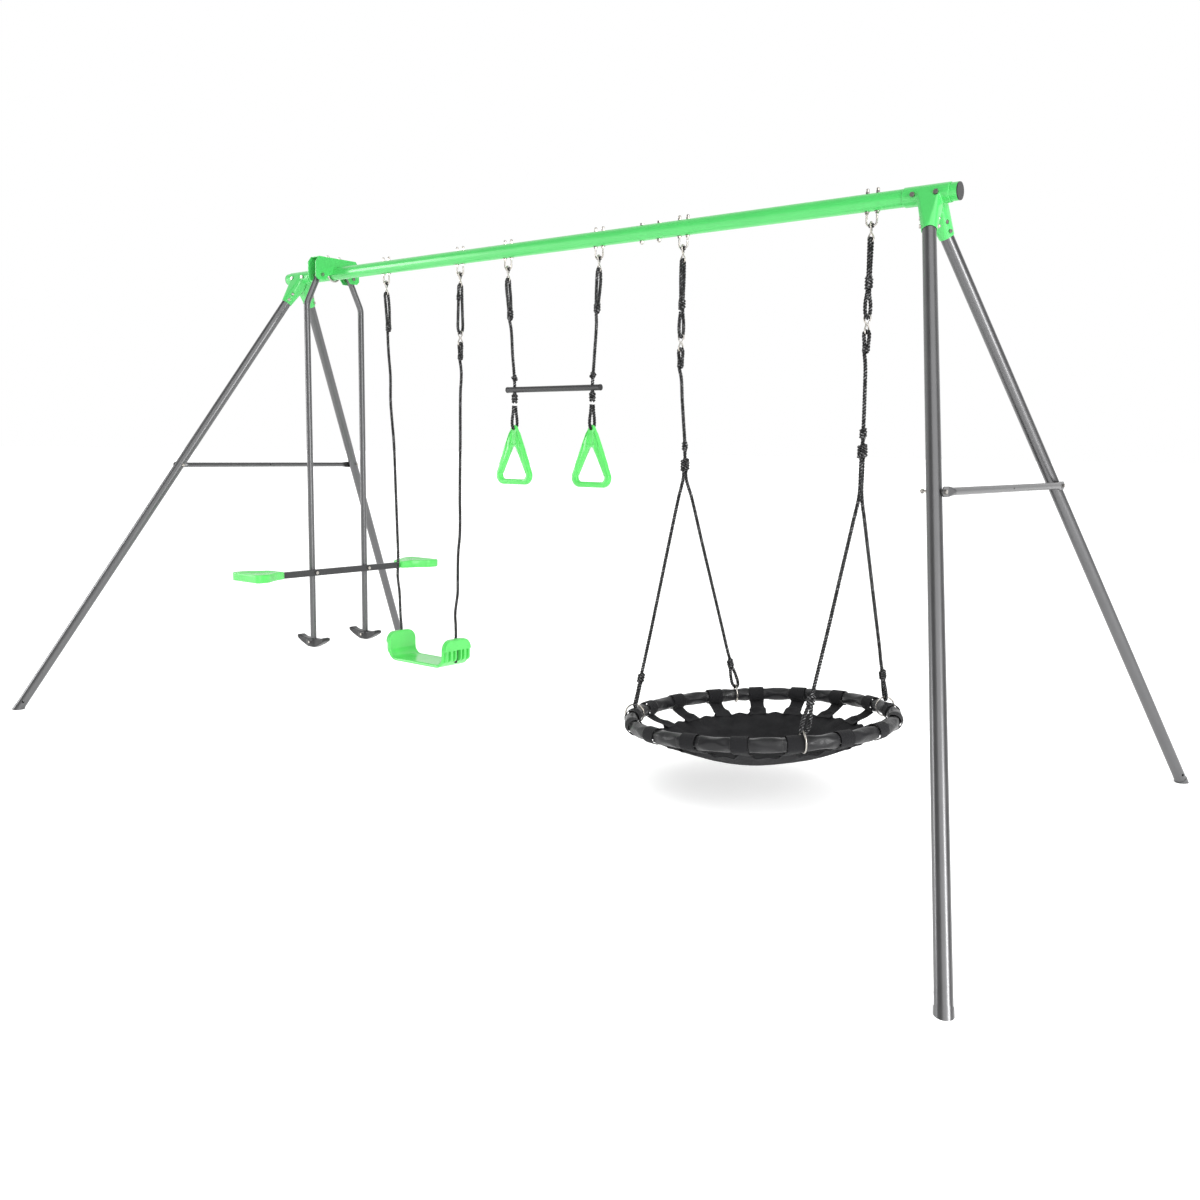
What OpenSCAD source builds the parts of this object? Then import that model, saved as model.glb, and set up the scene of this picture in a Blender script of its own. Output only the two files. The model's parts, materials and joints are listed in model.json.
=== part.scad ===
// Garden swing set: an A-frame of steel tube that carries a face-to-face glider,
// a belt swing, a trapeze bar with two hand rings, and a round nest swing.
// X runs along the beam, Y from the front legs to the rear legs, Z is up.
// The origin is on the ground, under the middle of the beam.

/* [Frame] */
// Height of the beam's axis above the ground
beam_height = 1800; // [1780:5:1840]
// Length of the whole beam
beam_length = 2976; // [2966:10:3076]
// Outer diameter of the beam
beam_d = 50; // [48:1:51]
// Wall thickness of the beam
beam_wall = 1.8; // [1.5:0.1:2.5]
// Place along X where the two beam tubes meet
joint_x = 500; // [495:1:510]
// Distance of the legs' heads from the middle of the beam
leg_top_x = 1400; // [1390:5:1410]
// Distance of the feet from the middle, along the beam
foot_x = 1960; // [1900:10:2050]
// Distance of the feet from the middle, across the beam
foot_y = 1038; // [1000:2:1100]
// Outer diameter of a leg
leg_d = 38; // [36:0.5:39]
// Wall thickness of a leg
leg_wall = 1.5; // [1.2:0.1:2]
// Height of the cross braces
brace_z = 1000; // [800:10:1100]
// Diameter of a cross brace
brace_d = 20; // [18:1:22]

/* [Hangers] */
// Drop of a hanger bolt's bottom below the beam
hanger_drop = 42; // [40:1:46]
// Rod diameter of a hanger bolt
hanger_rod = 6; // [5:0.5:7]
// Wire diameter of a hook
hook_wire = 5; // [4.5:0.25:5.25]
// Diameter of all ropes
rope_d = 10; // [9:0.5:10]

/* [Glider] */
// Place of the glider along the beam
glider_x = -1190; // [-1200:5:-1170]
// Half the distance between the glider's upper pivots
pivot_y = 80; // [78:1:84]
// Height of the upper pivots below the beam's axis
pivot_drop = 13; // [10:1:16]
// Half the distance between the glider's two hangers
hanger_y = 140; // [135:1:145]
// Outer diameter of a glider hanger
hanger_d = 25; // [24:0.5:26]
// Height of the cross bar's pivots
bar_z = 557; // [540:1:600]
// Half the length of the cross bar
bar_half = 465; // [455:5:475]
// Bend near the top of a glider hanger, in degrees
hanger_bend = 26.5; // [24:0.5:29]
// Height of the foot pegs' lowest edge
peg_z = 238; // [200:2:260]

/* [Belt swing] */
// Middle of the belt seat along the beam
belt_x = -630; // [-632:1:-628]
// Half the distance between the belt seat's ropes
belt_half = 160; // [158:1:162]
// Depth of the belt seat from front to back
belt_depth = 145; // [130:5:160]
// Height of the belt seat's ends
belt_h = 114; // [106:2:120]

/* [Trapeze] */
// Middle of the trapeze bar along the beam
trapeze_x = 27; // [26:0.5:28]
// Half the length of the trapeze bar
trapeze_half = 217; // [210:1:225]
// Diameter of the trapeze bar
trapeze_d = 21; // [19:0.5:22]
// Width of a hand ring
ring_w = 172; // [160:2:180]
// Height of a hand ring
ring_h = 218; // [210:2:224]
// Thickness of a hand ring
ring_t = 20; // [18:1:24]

/* [Nest] */
// Middle of the nest along the beam
nest_x = 925; // [920:1:930]
// Height of the nest's rim
nest_z = 246; // [240:1:252]
// Radius of the nest's steel ring, to the middle of the tube
nest_r = 417.5; // [415:0.5:420]
// Diameter of the padded rim
pad_d = 46; // [42:1:48]
// How far the mat sags below the rim
nest_sag = 140; // [120:5:150]
// Tilt of the nest along the beam, in degrees
nest_tilt = 4; // [3.8:0.1:4.2]
// Number of webbing straps round the rim
strap_count = 17; // [15:1:19]

/* [Hidden] */
$fn = 48;

beam_green = [0.25, 0.85, 0.35];
plastic_green = [0.2, 0.9, 0.3];
leg_grey = [0.55, 0.56, 0.57];
dark_grey = [0.25, 0.26, 0.27];
zinc = [0.75, 0.76, 0.78];
black = [0.05, 0.05, 0.06];

beam_r = beam_d / 2;
beam_bore_r = beam_r - beam_wall;
fit_gap = 0.1;
run_gap = 0.05;
spigot_length = 120;
splice_x = [414, 484];
bolt_r = 4;
small_bolt_r = 3;
nut_gap = 0.15;
cap_flange = 3;
cap_plug = 20;

leg_r = leg_d / 2;
leg_run = [foot_x - leg_top_x, foot_y, beam_height];
leg_length = norm(leg_run);
leg_lean = 180 - acos(beam_height / leg_length);
leg_start = 62;
sleeve_end = 130;
sleeve_bolts = [86, 114];
seat_reach = 2.2;
neck_length = 62;
neck_lean = 8;
anchor_z = 32;
anchor_r = 4.5;
cap_height = 16;
cap_wall = 1.5;
cap_floor = 2;

shell_t = 2.5;
shell_length = 137;
beam_bolt_x = 34;

brace_share = (beam_height - brace_z) / beam_height;
brace_leg_x = leg_top_x + leg_run.x * brace_share;
brace_leg_y = leg_run.y * brace_share;
brace_off = 26;
tab_t = 3;
tab_r = 13;
tab_l = 24;

belt_hangers = [-860, -440];
trapeze_hangers = [-192, 233];
nest_hangers = [580, 1233];
hangers = concat(belt_hangers, trapeze_hangers, nest_hangers);
rod_r = hanger_rod / 2;
hinge_z = beam_height - beam_r - hanger_drop + rod_r;
ubolt_bend = 9;
ubolt_flat = 7;
ubolt_x = ubolt_flat + ubolt_bend;
ubolt_top = beam_r + 12;
bushing_r = 6.5;
wire_r = hook_wire / 2;
upper_eye = 10;
lower_eye = 9;
hook_pitch = 35;
rope_r = rope_d / 2;
rope_sides = 8;

// Rope routes, measured from the hanger that each rope hangs on.
// The loop over a hook's eye comes first, then the rope down to what it carries.
belt_left_route = [
    [10, 6, -185], [9, 7, -146], [6, 9, -96], [2, 9, -60], [0, 8, -44], [0, 6, -38],
    [0, 0, -36], [0, -6, -38], [0, -8, -44], [2, -9, -60], [6, -9, -96], [9, -7, -146],
    [10, -5, -190], [6, 0, -235], [10, 0, -285], [18, 0, -360], [18, 0, -470],
    [26, 0, -550], [34, 0, -620], [42, 0, -790], [50, 0, -985], [54, 0, -1100],
    [50, 0, -1175], [60, 0, -1240], [65, 0, -1335], [70, 0, -1385], [70, 0, -1495]
];
belt_adjuster_route = [
    [0, -9, -80], [0, -9, -60], [0, -8, -44], [0, -6, -38], [0, 0, -36], [0, 6, -38],
    [0, 8, -44], [0, 9, -60], [0, 10, -110], [0, 12, -160], [0, 12, -200], [0, 8, -211],
    [0, 0, -216], [0, -8, -211], [0, -12, -200], [0, -12, -160], [0, -10, -110], [0, -9, -86]
];
belt_right_route = [
    [6, 0, -305], [7, 0, -280], [8, 0, -261], [6, 0, -255], [0, 0, -253], [-6, 0, -255],
    [-8, 0, -261], [-6, 0, -280], [-5, 0, -305], [2, 0, -340], [5, 0, -370], [0, 0, -435],
    [-2, 0, -635], [-5, 0, -820], [-6, 0, -985], [-15, 0, -1055], [-18, 0, -1165],
    [-19, 0, -1215], [-29, 0, -1270], [-33, 0, -1300], [-30, 0, -1350], [-30, 0, -1495]
];
trapeze_left_route = [
    [12, 6, -180], [9, 7, -140], [5, 9, -100], [0, 9, -60], [0, 8, -44], [0, 6, -38],
    [0, 0, -36], [0, -6, -38], [0, -8, -44], [0, -9, -60], [5, -9, -100], [9, -7, -140],
    [12, -5, -180], [16, 0, -215], [24, 0, -310], [32, 0, -380], [35, 0, -420], [35, 0, -470]
];
trapeze_right_route = [
    [-6, 6, -180], [-5, 7, -140], [-2, 10, -100], [0, 10, -60], [0, 8, -44], [0, 6, -38],
    [0, 0, -36], [0, -6, -38], [0, -8, -44], [0, -10, -60], [-2, -10, -100], [-5, -7, -140],
    [-6, -5, -180], [-8, 0, -215], [-14, 0, -310], [-19, 0, -380], [-22, 0, -420], [-22, 0, -470]
];
ring_route = [
    [0, 6, -492], [0, 8, -515], [0, 13, -545], [0, 13, -562], [0, 10, -571], [0, 5, -575],
    [0, -5, -575], [0, -10, -571], [0, -13, -562], [0, -13, -545], [0, -8, -515], [0, -6, -492]
];
nest_left_loop = [
    [0, -6, -195], [0, -7, -145], [0, -9, -100], [0, -9, -60], [0, -8, -44], [0, -6, -38],
    [0, 0, -36], [0, 6, -38], [0, 8, -44], [0, 9, -60], [0, 9, -100], [0, 7, -145],
    [0, 6, -200], [0, 12, -235], [0, 12, -264], [0, 8, -276], [0, 0, -281], [0, -8, -276],
    [0, -12, -264], [0, -12, -235], [0, -6, -201]
];
nest_right_loop = [
    [0, -6, -175], [0, -6, -125], [0, -7, -90], [0, -8, -60], [0, -8, -44], [0, -6, -38],
    [0, 0, -36], [0, 6, -38], [0, 8, -44], [0, 8, -60], [0, 7, -90], [0, 6, -125],
    [0, 6, -190], [0, 17, -220], [0, 16, -243], [0, 9, -255], [0, 0, -259], [0, -9, -255],
    [0, -16, -243], [0, -17, -220], [0, -6, -181]
];
nest_left_main = [
    [6, 0, -375], [7, 0, -350], [8, 0, -326], [6, 0, -320], [0, 0, -318], [-6, 0, -320],
    [-8, 0, -326], [-6, 0, -350], [-5, 0, -375], [4, 0, -410], [10, 0, -480], [18, 0, -560],
    [24, 0, -620], [27, 0, -690]
];
nest_right_main = [
    [6, 0, -353], [7, 0, -328], [8, 0, -304], [6, 0, -298], [0, 0, -296], [-6, 0, -298],
    [-8, 0, -304], [-6, 0, -328], [-5, 0, -353], [0, 0, -390], [2, 0, -460], [3, 0, -540],
    [3, 0, -600], [3, 0, -650]
];
nest_front_left_leg = [
    [27, -6, -700], [27, -8, -735], [20, -22, -800], [7, -53, -950], [-5, -84, -1100],
    [-18, -114, -1250], [-26, -133, -1340], [-30, -143, -1385], [-30, -154, -1416],
    [-31, -164, -1450], [-34, -169, -1474], [-36, -168, -1484], [-38, -163, -1489],
    [-40, -156, -1484], [-41, -151, -1474], [-39, -146, -1450], [-34, -143, -1418]
];
nest_rear_left_leg = [
    [27, 6, -700], [27, 8, -735], [31, 37, -800], [37, 96, -950], [44, 155, -1100],
    [51, 214, -1250], [55, 249, -1340], [57, 266, -1382], [54, 274, -1412],
    [52, 284, -1445], [53, 292, -1467], [56, 299, -1477], [61, 305, -1482],
    [66, 307, -1477], [68, 306, -1467], [67, 297, -1445], [62, 282, -1414]
];
nest_front_right_leg = [
    [3, -6, -650], [3, -6, -700], [3, -8, -770], [2, -39, -850], [1, -102, -1000],
    [0, -164, -1150], [-2, -205, -1250], [-3, -230, -1310], [-3, -243, -1341], [1, -252, -1372],
    [4, -262, -1405], [4, -272, -1427], [1, -278, -1436], [-3, -285, -1441],
    [-8, -287, -1436], [-10, -286, -1427], [-10, -277, -1405], [-7, -261, -1374]
];
nest_rear_right_leg = [
    [3, 6, -650], [3, 6, -700], [3, 8, -770], [0, 42, -850], [-6, 108, -1000],
    [-12, 175, -1150], [-16, 220, -1250], [-19, 246, -1310], [-20, 261, -1343], [-26, 279, -1374],
    [-30, 296, -1406], [-31, 306, -1428], [-28, 307, -1437], [-24, 305, -1442],
    [-19, 298, -1437], [-16, 292, -1428], [-15, 282, -1406], [-17, 271, -1376]
];
// Middle and direction of the coil knot at the foot of each of the nest's four ropes
leg_knots_left = [[[-30, -144, -1394], [-65, -157, -769]], [[57, 270, -1392], [34, 299, -762]]];
leg_knots_right = [[[-3, -248, -1351], [-6, -279, -671]], [[-20, 266, -1353], [-27, 299, -672]]];

plate_t = 3;
plate_x = 23;
plate_outline = [
    [-112, -22], [-112, 38], [-95, 60], [95, 60], [112, 38], [112, -22], [100, -34],
    [66, -34], [52, -16], [beam_r + fit_gap, -5], [-beam_r - fit_gap, -5],
    [-52, -16], [-66, -34], [-100, -34]
];
clamp_y = 30;
spacer_l = 9;
hanger_wall = 1.6;
bend_r = 60;
peg_depth = 42;
peg_outline = [
    [-91, 47], [-75, 47], [-62, 40], [0, 37], [62, 40], [75, 47], [91, 47],
    [91, 32], [30, 2], [22, 0], [-22, 0], [-30, 2], [-91, 32]
];
peg_bolt_z = 22;
peg_floor = 8;
bar_t = 16;
bar_h = 26;
bar_wall = 1.5;
crossbar_x = glider_x + hanger_d / 2 + 1 + bar_t / 2;
seat_bolt_y = [370, 405];
seat_gap = 0.2;
seat_bolt_depth = 3;

belt_top = 338;
ring_top = -562;
trapeze_drop = -434;
trapeze_wall = 1.5;
rim_t = 4;
plug_l = 14;
rope_holes = [trapeze_hangers[0] + 35, trapeze_hangers[1] - 22];

leg_angles = [203, 133, 317, 47];
link_r = 31;
link_lift = 5.2;
strap_pitch = 360 / strap_count;
strap_start = -4;
strap_w = 50;
strap_sweep = 2 * asin(strap_w / 2 / nest_r);
mat_r = 345;
mat_edge = -46;

// A unit vector
function unit(v) = v / norm(v);

// The direction of a route at one of its points
function heading(route, i) =
    unit(route[min(i + 1, len(route) - 1)] - route[max(i - 1, 0)]);

// One ring of points round a route, square to it
function ring_points(route, i, r, side) =
    let (along = heading(route, i), u = unit(cross(along, side)), v = cross(along, u))
    [for (k = [0:rope_sides - 1])
        route[i] + r * (u * cos(360 * k / rope_sides) + v * sin(360 * k / rope_sides))];

// A rope: a closed tube swept along its route
module rope(route, side = [1, 0, 0]) {
    last = len(route) - 1;
    n = rope_sides;
    rings = [for (i = [0:last]) each ring_points(route, i, rope_r, side)];
    walls = [for (i = [0:last - 1], k = [0:n - 1])
        [i * n + k, (i + 1) * n + k, (i + 1) * n + (k + 1) % n, i * n + (k + 1) % n]];
    start_face = [for (k = [0:n - 1]) k];
    end_face = [for (k = [0:n - 1]) last * n + n - 1 - k];
    polyhedron(points = rings, faces = concat(walls, [start_face, end_face]));
}

// A straight round bar between two points
module bar(a, b, r) {
    v = b - a;
    translate(a)
        rotate([0, acos(v.z / norm(v)), atan2(v.y, v.x)])
            cylinder(r = r, h = norm(v));
}

// A round bar along X, centred on a point
module bar_x(p, r, length) {
    translate(p) rotate([0, 90, 0]) cylinder(r = r, h = length, center = true);
}

// A round bar along Y, centred on a point
module bar_y(p, r, length) {
    translate(p) rotate([90, 0, 0]) cylinder(r = r, h = length, center = true);
}

// The children in a leg's own frame: its Z runs down the leg from the beam's axis,
// and its Y is level and square to the leg
module on_leg(side, front) {
    translate([side * leg_top_x, 0, beam_height])
        rotate([0, leg_lean, atan2(front * leg_run.y, side * leg_run.x)])
            children();
}

// A bolt along Z: head below the origin, shank upwards, and a loose domed nut at its end
module bolt_and_nut(r, grip) {
    translate([0, 0, -1.6 * r]) cylinder(r = 1.9 * r, h = 1.6 * r, $fn = 6);
    cylinder(r = r, h = grip + 2 * r);
    translate([0, 0, grip + nut_gap]) domed_nut(r);
}

// A domed nut, open from below
module domed_nut(r) {
    difference() {
        union() {
            cylinder(r = 2 * r, h = 1.6 * r, $fn = 6);
            translate([0, 0, 1.5 * r]) sphere(r = 1.5 * r);
        }
        translate([0, 0, -r]) cylinder(r = r + nut_gap, h = 3.1 * r + nut_gap);
        translate([0, 0, -2 * r]) cylinder(r = 4 * r, h = 2 * r);
    }
}

// ---- Beam ----

module hanger_holes() {
    for (x = hangers, s = [-1, 1])
        translate([x + s * ubolt_x, 0, 0]) cylinder(r = rod_r + 0.5, h = 3 * beam_r, center = true);
}

module beam_holes() {
    hanger_holes();
    for (x = splice_x) translate([x, 0, 0]) cylinder(r = bolt_r + 0.2, h = 3 * beam_r, center = true);
    for (side = [-1, 1], s = [-1, 1])
        bar_y([side * leg_top_x + s * beam_bolt_x, 0, 0], bolt_r + 0.2, 3 * beam_r);
}

module beam_left() {
    length = joint_x + beam_length / 2;
    color(beam_green) translate([0, 0, beam_height]) difference() {
        bar_x([joint_x - length / 2, 0, 0], beam_r, length);
        bar_x([joint_x - length / 2, 0, 0], beam_bore_r, length + 2);
        beam_holes();
    }
}

module beam_right() {
    length = beam_length / 2 - joint_x;
    spigot_r = beam_bore_r - fit_gap;
    color(beam_green) translate([0, 0, beam_height]) difference() {
        union() {
            bar_x([joint_x + length / 2 + fit_gap, 0, 0], beam_r, length - 2 * fit_gap);
            bar_x([joint_x, 0, 0], spigot_r, 2 * spigot_length);
        }
        bar_x([joint_x, 0, 0], spigot_r - beam_wall, 2 * spigot_length + 2);
        bar_x([joint_x + spigot_length + length / 2, 0, 0], beam_bore_r, length);
        beam_holes();
    }
}

module beam_end_caps() {
    color(black) translate([0, 0, beam_height]) for (s = [-1, 1]) {
        bar_x([s * (beam_length / 2 + cap_flange / 2), 0, 0], beam_r - 0.5, cap_flange);
        bar_x([s * (beam_length / 2 - cap_plug / 2), 0, 0], beam_bore_r - fit_gap, cap_plug + 0.02);
    }
}

// ---- Brackets and legs ----

// The outside of a bracket shell, grown or shrunk by an offset
module shell_body(side, front, grow) {
    shell_r = beam_r + shell_t + grow;
    bar_x([side * leg_top_x, 0, beam_height], shell_r, shell_length + 2 * grow, $fn = 32);
    hull() {
        bar_x([side * (leg_top_x + neck_lean), 0, beam_height], shell_r, neck_length + 2 * grow, $fn = 32);
        on_leg(side, front) translate([0, 0, leg_start])
            cylinder(r = leg_r + shell_t + grow, h = sleeve_end - leg_start, $fn = 32);
    }
}

// Round seats for a bolt's head and nut, from a depth outwards
module bolt_seats(r, seat, reach) {
    for (s = [-1, 1])
        bar_y([0, s * (seat + reach / 2), 0], r, reach);
}

module bracket_shell(side, front) {
    reach = 400;
    beam_seat = beam_r + shell_t + 0.1;
    sleeve_seat = leg_r + shell_t + 0.1;
    color(beam_green) difference() {
        union() {
            difference() {
                shell_body(side, front, 0);
                shell_body(side, front, -shell_t);
            }
            intersection() {
                shell_body(side, front, 0);
                union() {
                    for (s = [-1, 1])
                        bar_y([side * leg_top_x + s * beam_bolt_x, 0, beam_height], seat_reach * bolt_r + 2, reach);
                    on_leg(side, front) for (z = sleeve_bolts)
                        bar_y([0, 0, z], seat_reach * small_bolt_r + 2, reach);
                }
            }
        }
        bar_x([side * leg_top_x, 0, beam_height], beam_r + fit_gap, reach);
        on_leg(side, front) translate([0, 0, leg_start - 2]) cylinder(r = leg_r + fit_gap, h = reach);
        translate([side * leg_top_x, -front * (reach / 2 - 0.3), beam_height]) cube(reach, center = true);
        for (s = [-1, 1])
            translate([side * leg_top_x + s * beam_bolt_x, 0, beam_height]) {
                bar_y([0, 0, 0], bolt_r + 0.2, 4 * beam_r);
                bolt_seats(seat_reach * bolt_r, beam_seat, 2 * beam_r);
            }
        on_leg(side, front) for (z = sleeve_bolts)
            translate([0, 0, z]) {
                bar_y([0, 0, 0], small_bolt_r + 0.2, 4 * leg_r);
                bolt_seats(seat_reach * small_bolt_r, sleeve_seat, 2 * leg_r);
            }
    }
}

module bracket_left_front() { bracket_shell(-1, -1); }
module bracket_left_rear() { bracket_shell(-1, 1); }
module bracket_right_front() { bracket_shell(1, -1); }
module bracket_right_rear() { bracket_shell(1, 1); }

module bracket_fasteners() {
    shell_r = beam_r + shell_t;
    sleeve_r = leg_r + shell_t;
    color(zinc) for (side = [-1, 1]) {
        for (s = [-1, 1])
            translate([side * leg_top_x + s * beam_bolt_x, -shell_r - 0.3, beam_height])
                rotate([-90, 0, 0]) bolt_and_nut(bolt_r, 2 * shell_r + 0.6);
        for (front = [-1, 1])
            on_leg(side, front) for (z = sleeve_bolts)
                translate([0, -sleeve_r - 0.3, z])
                    rotate([-90, 0, 0]) bolt_and_nut(small_bolt_r, 2 * sleeve_r + 0.6);
    }
}

// Everything below the ground
module ground() {
    translate([0, 0, -beam_height]) cube(2 * [2 * foot_x, 2 * foot_y, beam_height], center = true);
}

module leg(side, front) {
    color(leg_grey) difference() {
        on_leg(side, front) translate([0, 0, leg_start]) cylinder(r = leg_r, h = leg_length);
        on_leg(side, front) cylinder(r = leg_r - leg_wall, h = 2 * leg_length);
        translate([0, 0, cap_floor]) ground();
        on_leg(side, front) for (z = sleeve_bolts) bar_y([0, 0, z], small_bolt_r + 0.2, 4 * leg_r);
        on_leg(side, front)
            bar_y([0, 0, leg_length * (1 - anchor_z / beam_height)], anchor_r, 4 * leg_r);
        bar_x([side * brace_leg_x, front * brace_leg_y, brace_z], small_bolt_r + 0.2, 4 * leg_r);
    }
}

module leg_left_front() { leg(-1, -1); }
module leg_left_rear() { leg(-1, 1); }
module leg_right_front() { leg(1, -1); }
module leg_right_rear() { leg(1, 1); }

// Ferrules on the legs' ends, cut level with the ground
module foot_caps() {
    color(leg_grey) for (side = [-1, 1], front = [-1, 1]) difference() {
        on_leg(side, front) translate([0, 0, leg_length - cap_height])
            cylinder(r = leg_r + cap_wall, h = 3 * cap_height);
        on_leg(side, front) translate([0, 0, leg_length / 2])
            cylinder(r = leg_r + fit_gap, h = leg_length / 2 - 2 / cos(180 - leg_lean) - leg_r / 2);
        difference() {
            on_leg(side, front) translate([0, 0, leg_length / 2])
                cylinder(r = leg_r + fit_gap, h = leg_length);
            translate([0, 0, cap_floor - fit_gap]) ground();
        }
        ground();
    }
}

// ---- Braces ----

// A tube with flattened, drilled ends on the outer side of the legs
module brace(side) {
    x = side * (brace_leg_x + brace_off);
    color(leg_grey) difference() {
        union() {
            bar_y([x, 0, brace_z], brace_d / 2, 2 * brace_leg_y - 100);
            for (front = [-1, 1]) {
                hull() {
                    bar_y([x, front * (brace_leg_y - 51), brace_z], brace_d / 2 - 0.2, 2, $fn = 32);
                    translate([x, front * (brace_leg_y - tab_l), brace_z])
                        cube([tab_t - 0.4, 4, 2 * tab_r - 1], center = true);
                }
                translate([x, front * (brace_leg_y - tab_l / 2), brace_z])
                    cube([tab_t, tab_l, 2 * tab_r - 0.4], center = true);
                bar_x([x, front * brace_leg_y, brace_z], tab_r, tab_t);
            }
        }
        for (front = [-1, 1]) bar_x([x, front * brace_leg_y, brace_z], small_bolt_r + 0.2, 4 * tab_r);
        bar_x([x, 0, brace_z], small_bolt_r, 4 * tab_r);
    }
}

module brace_left() { brace(-1); }
module brace_right() { brace(1); }

module brace_fasteners() {
    grip = brace_off + tab_t / 2 + leg_r + 8;
    color(zinc) for (side = [-1, 1], front = [-1, 1])
        translate([side * (brace_leg_x + brace_off + tab_t / 2 + 0.2), front * brace_leg_y, brace_z])
            rotate([0, -side * 90, 0]) bolt_and_nut(small_bolt_r, grip);
}

module splice_fasteners() {
    color(zinc) for (x = splice_x)
        translate([x, 0, beam_height + beam_r + 0.2]) rotate([180, 0, 0]) bolt_and_nut(bolt_r, beam_d + 0.4);
}

// ---- Hangers: bolts, nuts and bushes on which the swings hang ----

module ubolt() {
    leg_foot = hanger_drop - rod_r - ubolt_bend;
    translate([0, 0, hinge_z]) {
        rotate([0, 90, 0]) cylinder(r = rod_r, h = 2 * ubolt_flat, center = true);
        for (s = [-1, 1]) {
            translate([s * ubolt_flat, 0, ubolt_bend]) rotate([90, s > 0 ? 90 : 0, 0]) mirror([0, s > 0 ? 0 : 1, 0])
                rotate([0, 0, s > 0 ? 0 : 90]) rotate_extrude(angle = 90) translate([ubolt_bend, 0]) circle(r = rod_r);
            translate([s * ubolt_x, 0, ubolt_bend]) cylinder(r = rod_r, h = leg_foot + beam_r + ubolt_top);
        }
    }
}

module hanger_ubolts() {
    color(zinc) for (x = hangers) translate([x, 0, 0]) ubolt();
}

// A domed nut on the beam and a flange nut under it, on each leg of each hanger bolt
module hanger_nuts() {
    color(zinc) for (x = hangers, s = [-1, 1]) translate([x + s * ubolt_x, 0, beam_height]) {
        difference() {
            union() {
                translate([0, 0, beam_r]) cylinder(r = 5.8, h = 6, $fn = 6);
                translate([0, 0, beam_r + 6]) cylinder(r = 4.8, h = 4.5);
                translate([0, 0, beam_r + 10.5]) sphere(r = 4.8);
            }
            cylinder(r = rod_r + nut_gap, h = ubolt_top + nut_gap);
        }
        difference() {
            union() {
                translate([0, 0, -beam_r - 2]) cylinder(r = 8, h = 1.8);
                translate([0, 0, -beam_r - 7]) cylinder(r = 5.8, h = 6, $fn = 6);
            }
            translate([0, 0, -2 * beam_r]) cylinder(r = rod_r + nut_gap, h = 2 * beam_r);
        }
    }
}

module hanger_bushings() {
    color(black) for (x = hangers) difference() {
        bar_x([x, 0, hinge_z], bushing_r, 2 * ubolt_flat - 1);
        bar_x([x, 0, hinge_z], rod_r + run_gap, 4 * ubolt_flat);
    }
}

// A hook with two eyes, the lower one turned a quarter turn. The upper eye's middle is the origin
module hook() {
    rotate([0, 90, 0]) rotate_extrude() translate([upper_eye, 0]) circle(r = wire_r);
    translate([0, 0, -hook_pitch]) rotate([90, 0, 0]) rotate_extrude() translate([lower_eye, 0]) circle(r = wire_r);
    translate([0, 0, lower_eye - hook_pitch]) cylinder(r = wire_r + 0.5, h = hook_pitch - lower_eye - upper_eye);
}

// A coil of rope round a rope
module coil_knot(p, r, length) {
    translate(p) cylinder(r = r, h = length, center = true);
}

// ---- Glider ----

module glider_plate(x) {
    translate([x + plate_t / 2, 0, beam_height]) rotate([90, 0, -90]) linear_extrude(plate_t) difference() {
        polygon(plate_outline);
        circle(r = beam_r + fit_gap);
        for (s = [-1, 1]) translate([s * pivot_y, -pivot_drop]) circle(r = bolt_r + run_gap);
    }
}

module glider_bracket() {
    color(beam_green) difference() {
        union() {
            for (s = [-1, 1]) glider_plate(glider_x + s * (plate_x + plate_t / 2));
            translate([glider_x, 0, beam_height + plate_outline[2].y - plate_t / 2])
                cube([2 * plate_x + plate_t, 2 * plate_outline[3].x, plate_t], center = true);
        }
        for (s = [-1, 1]) translate([glider_x, s * clamp_y, beam_height]) cylinder(r = bolt_r + 0.3, h = 80);
    }
}

// The bolt that clamps the bracket down on the beam, and its two nuts
module glider_clamp() {
    color(zinc) translate([glider_x, 0, beam_height]) {
        rotate([0, 90, 0]) rotate([0, 0, -90])
            rotate_extrude(angle = 180) translate([clamp_y, 0]) circle(r = bolt_r);
        for (s = [-1, 1]) {
            translate([0, s * clamp_y, 0]) cylinder(r = bolt_r, h = plate_outline[2].y + 2.5 * bolt_r);
            translate([0, s * clamp_y, plate_outline[2].y + nut_gap]) domed_nut(bolt_r);
        }
    }
}

// Pivot bolts with their nuts, and a spacer on each side of each hanger
module glider_pivots() {
    color(zinc) for (s = [-1, 1]) translate([glider_x, s * pivot_y, beam_height - pivot_drop]) {
        translate([plate_x + plate_t + 0.2, 0, 0])
            rotate([0, -90, 0]) bolt_and_nut(bolt_r, 2 * (plate_x + plate_t) + 0.4);
        for (t = [-1, 1]) difference() {
            bar_x([t * (plate_x - 0.6 - spacer_l / 2), 0, 0], 2 * bolt_r, spacer_l);
            bar_x([0, 0, 0], bolt_r + run_gap, 4 * plate_x);
        }
    }
}

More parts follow.
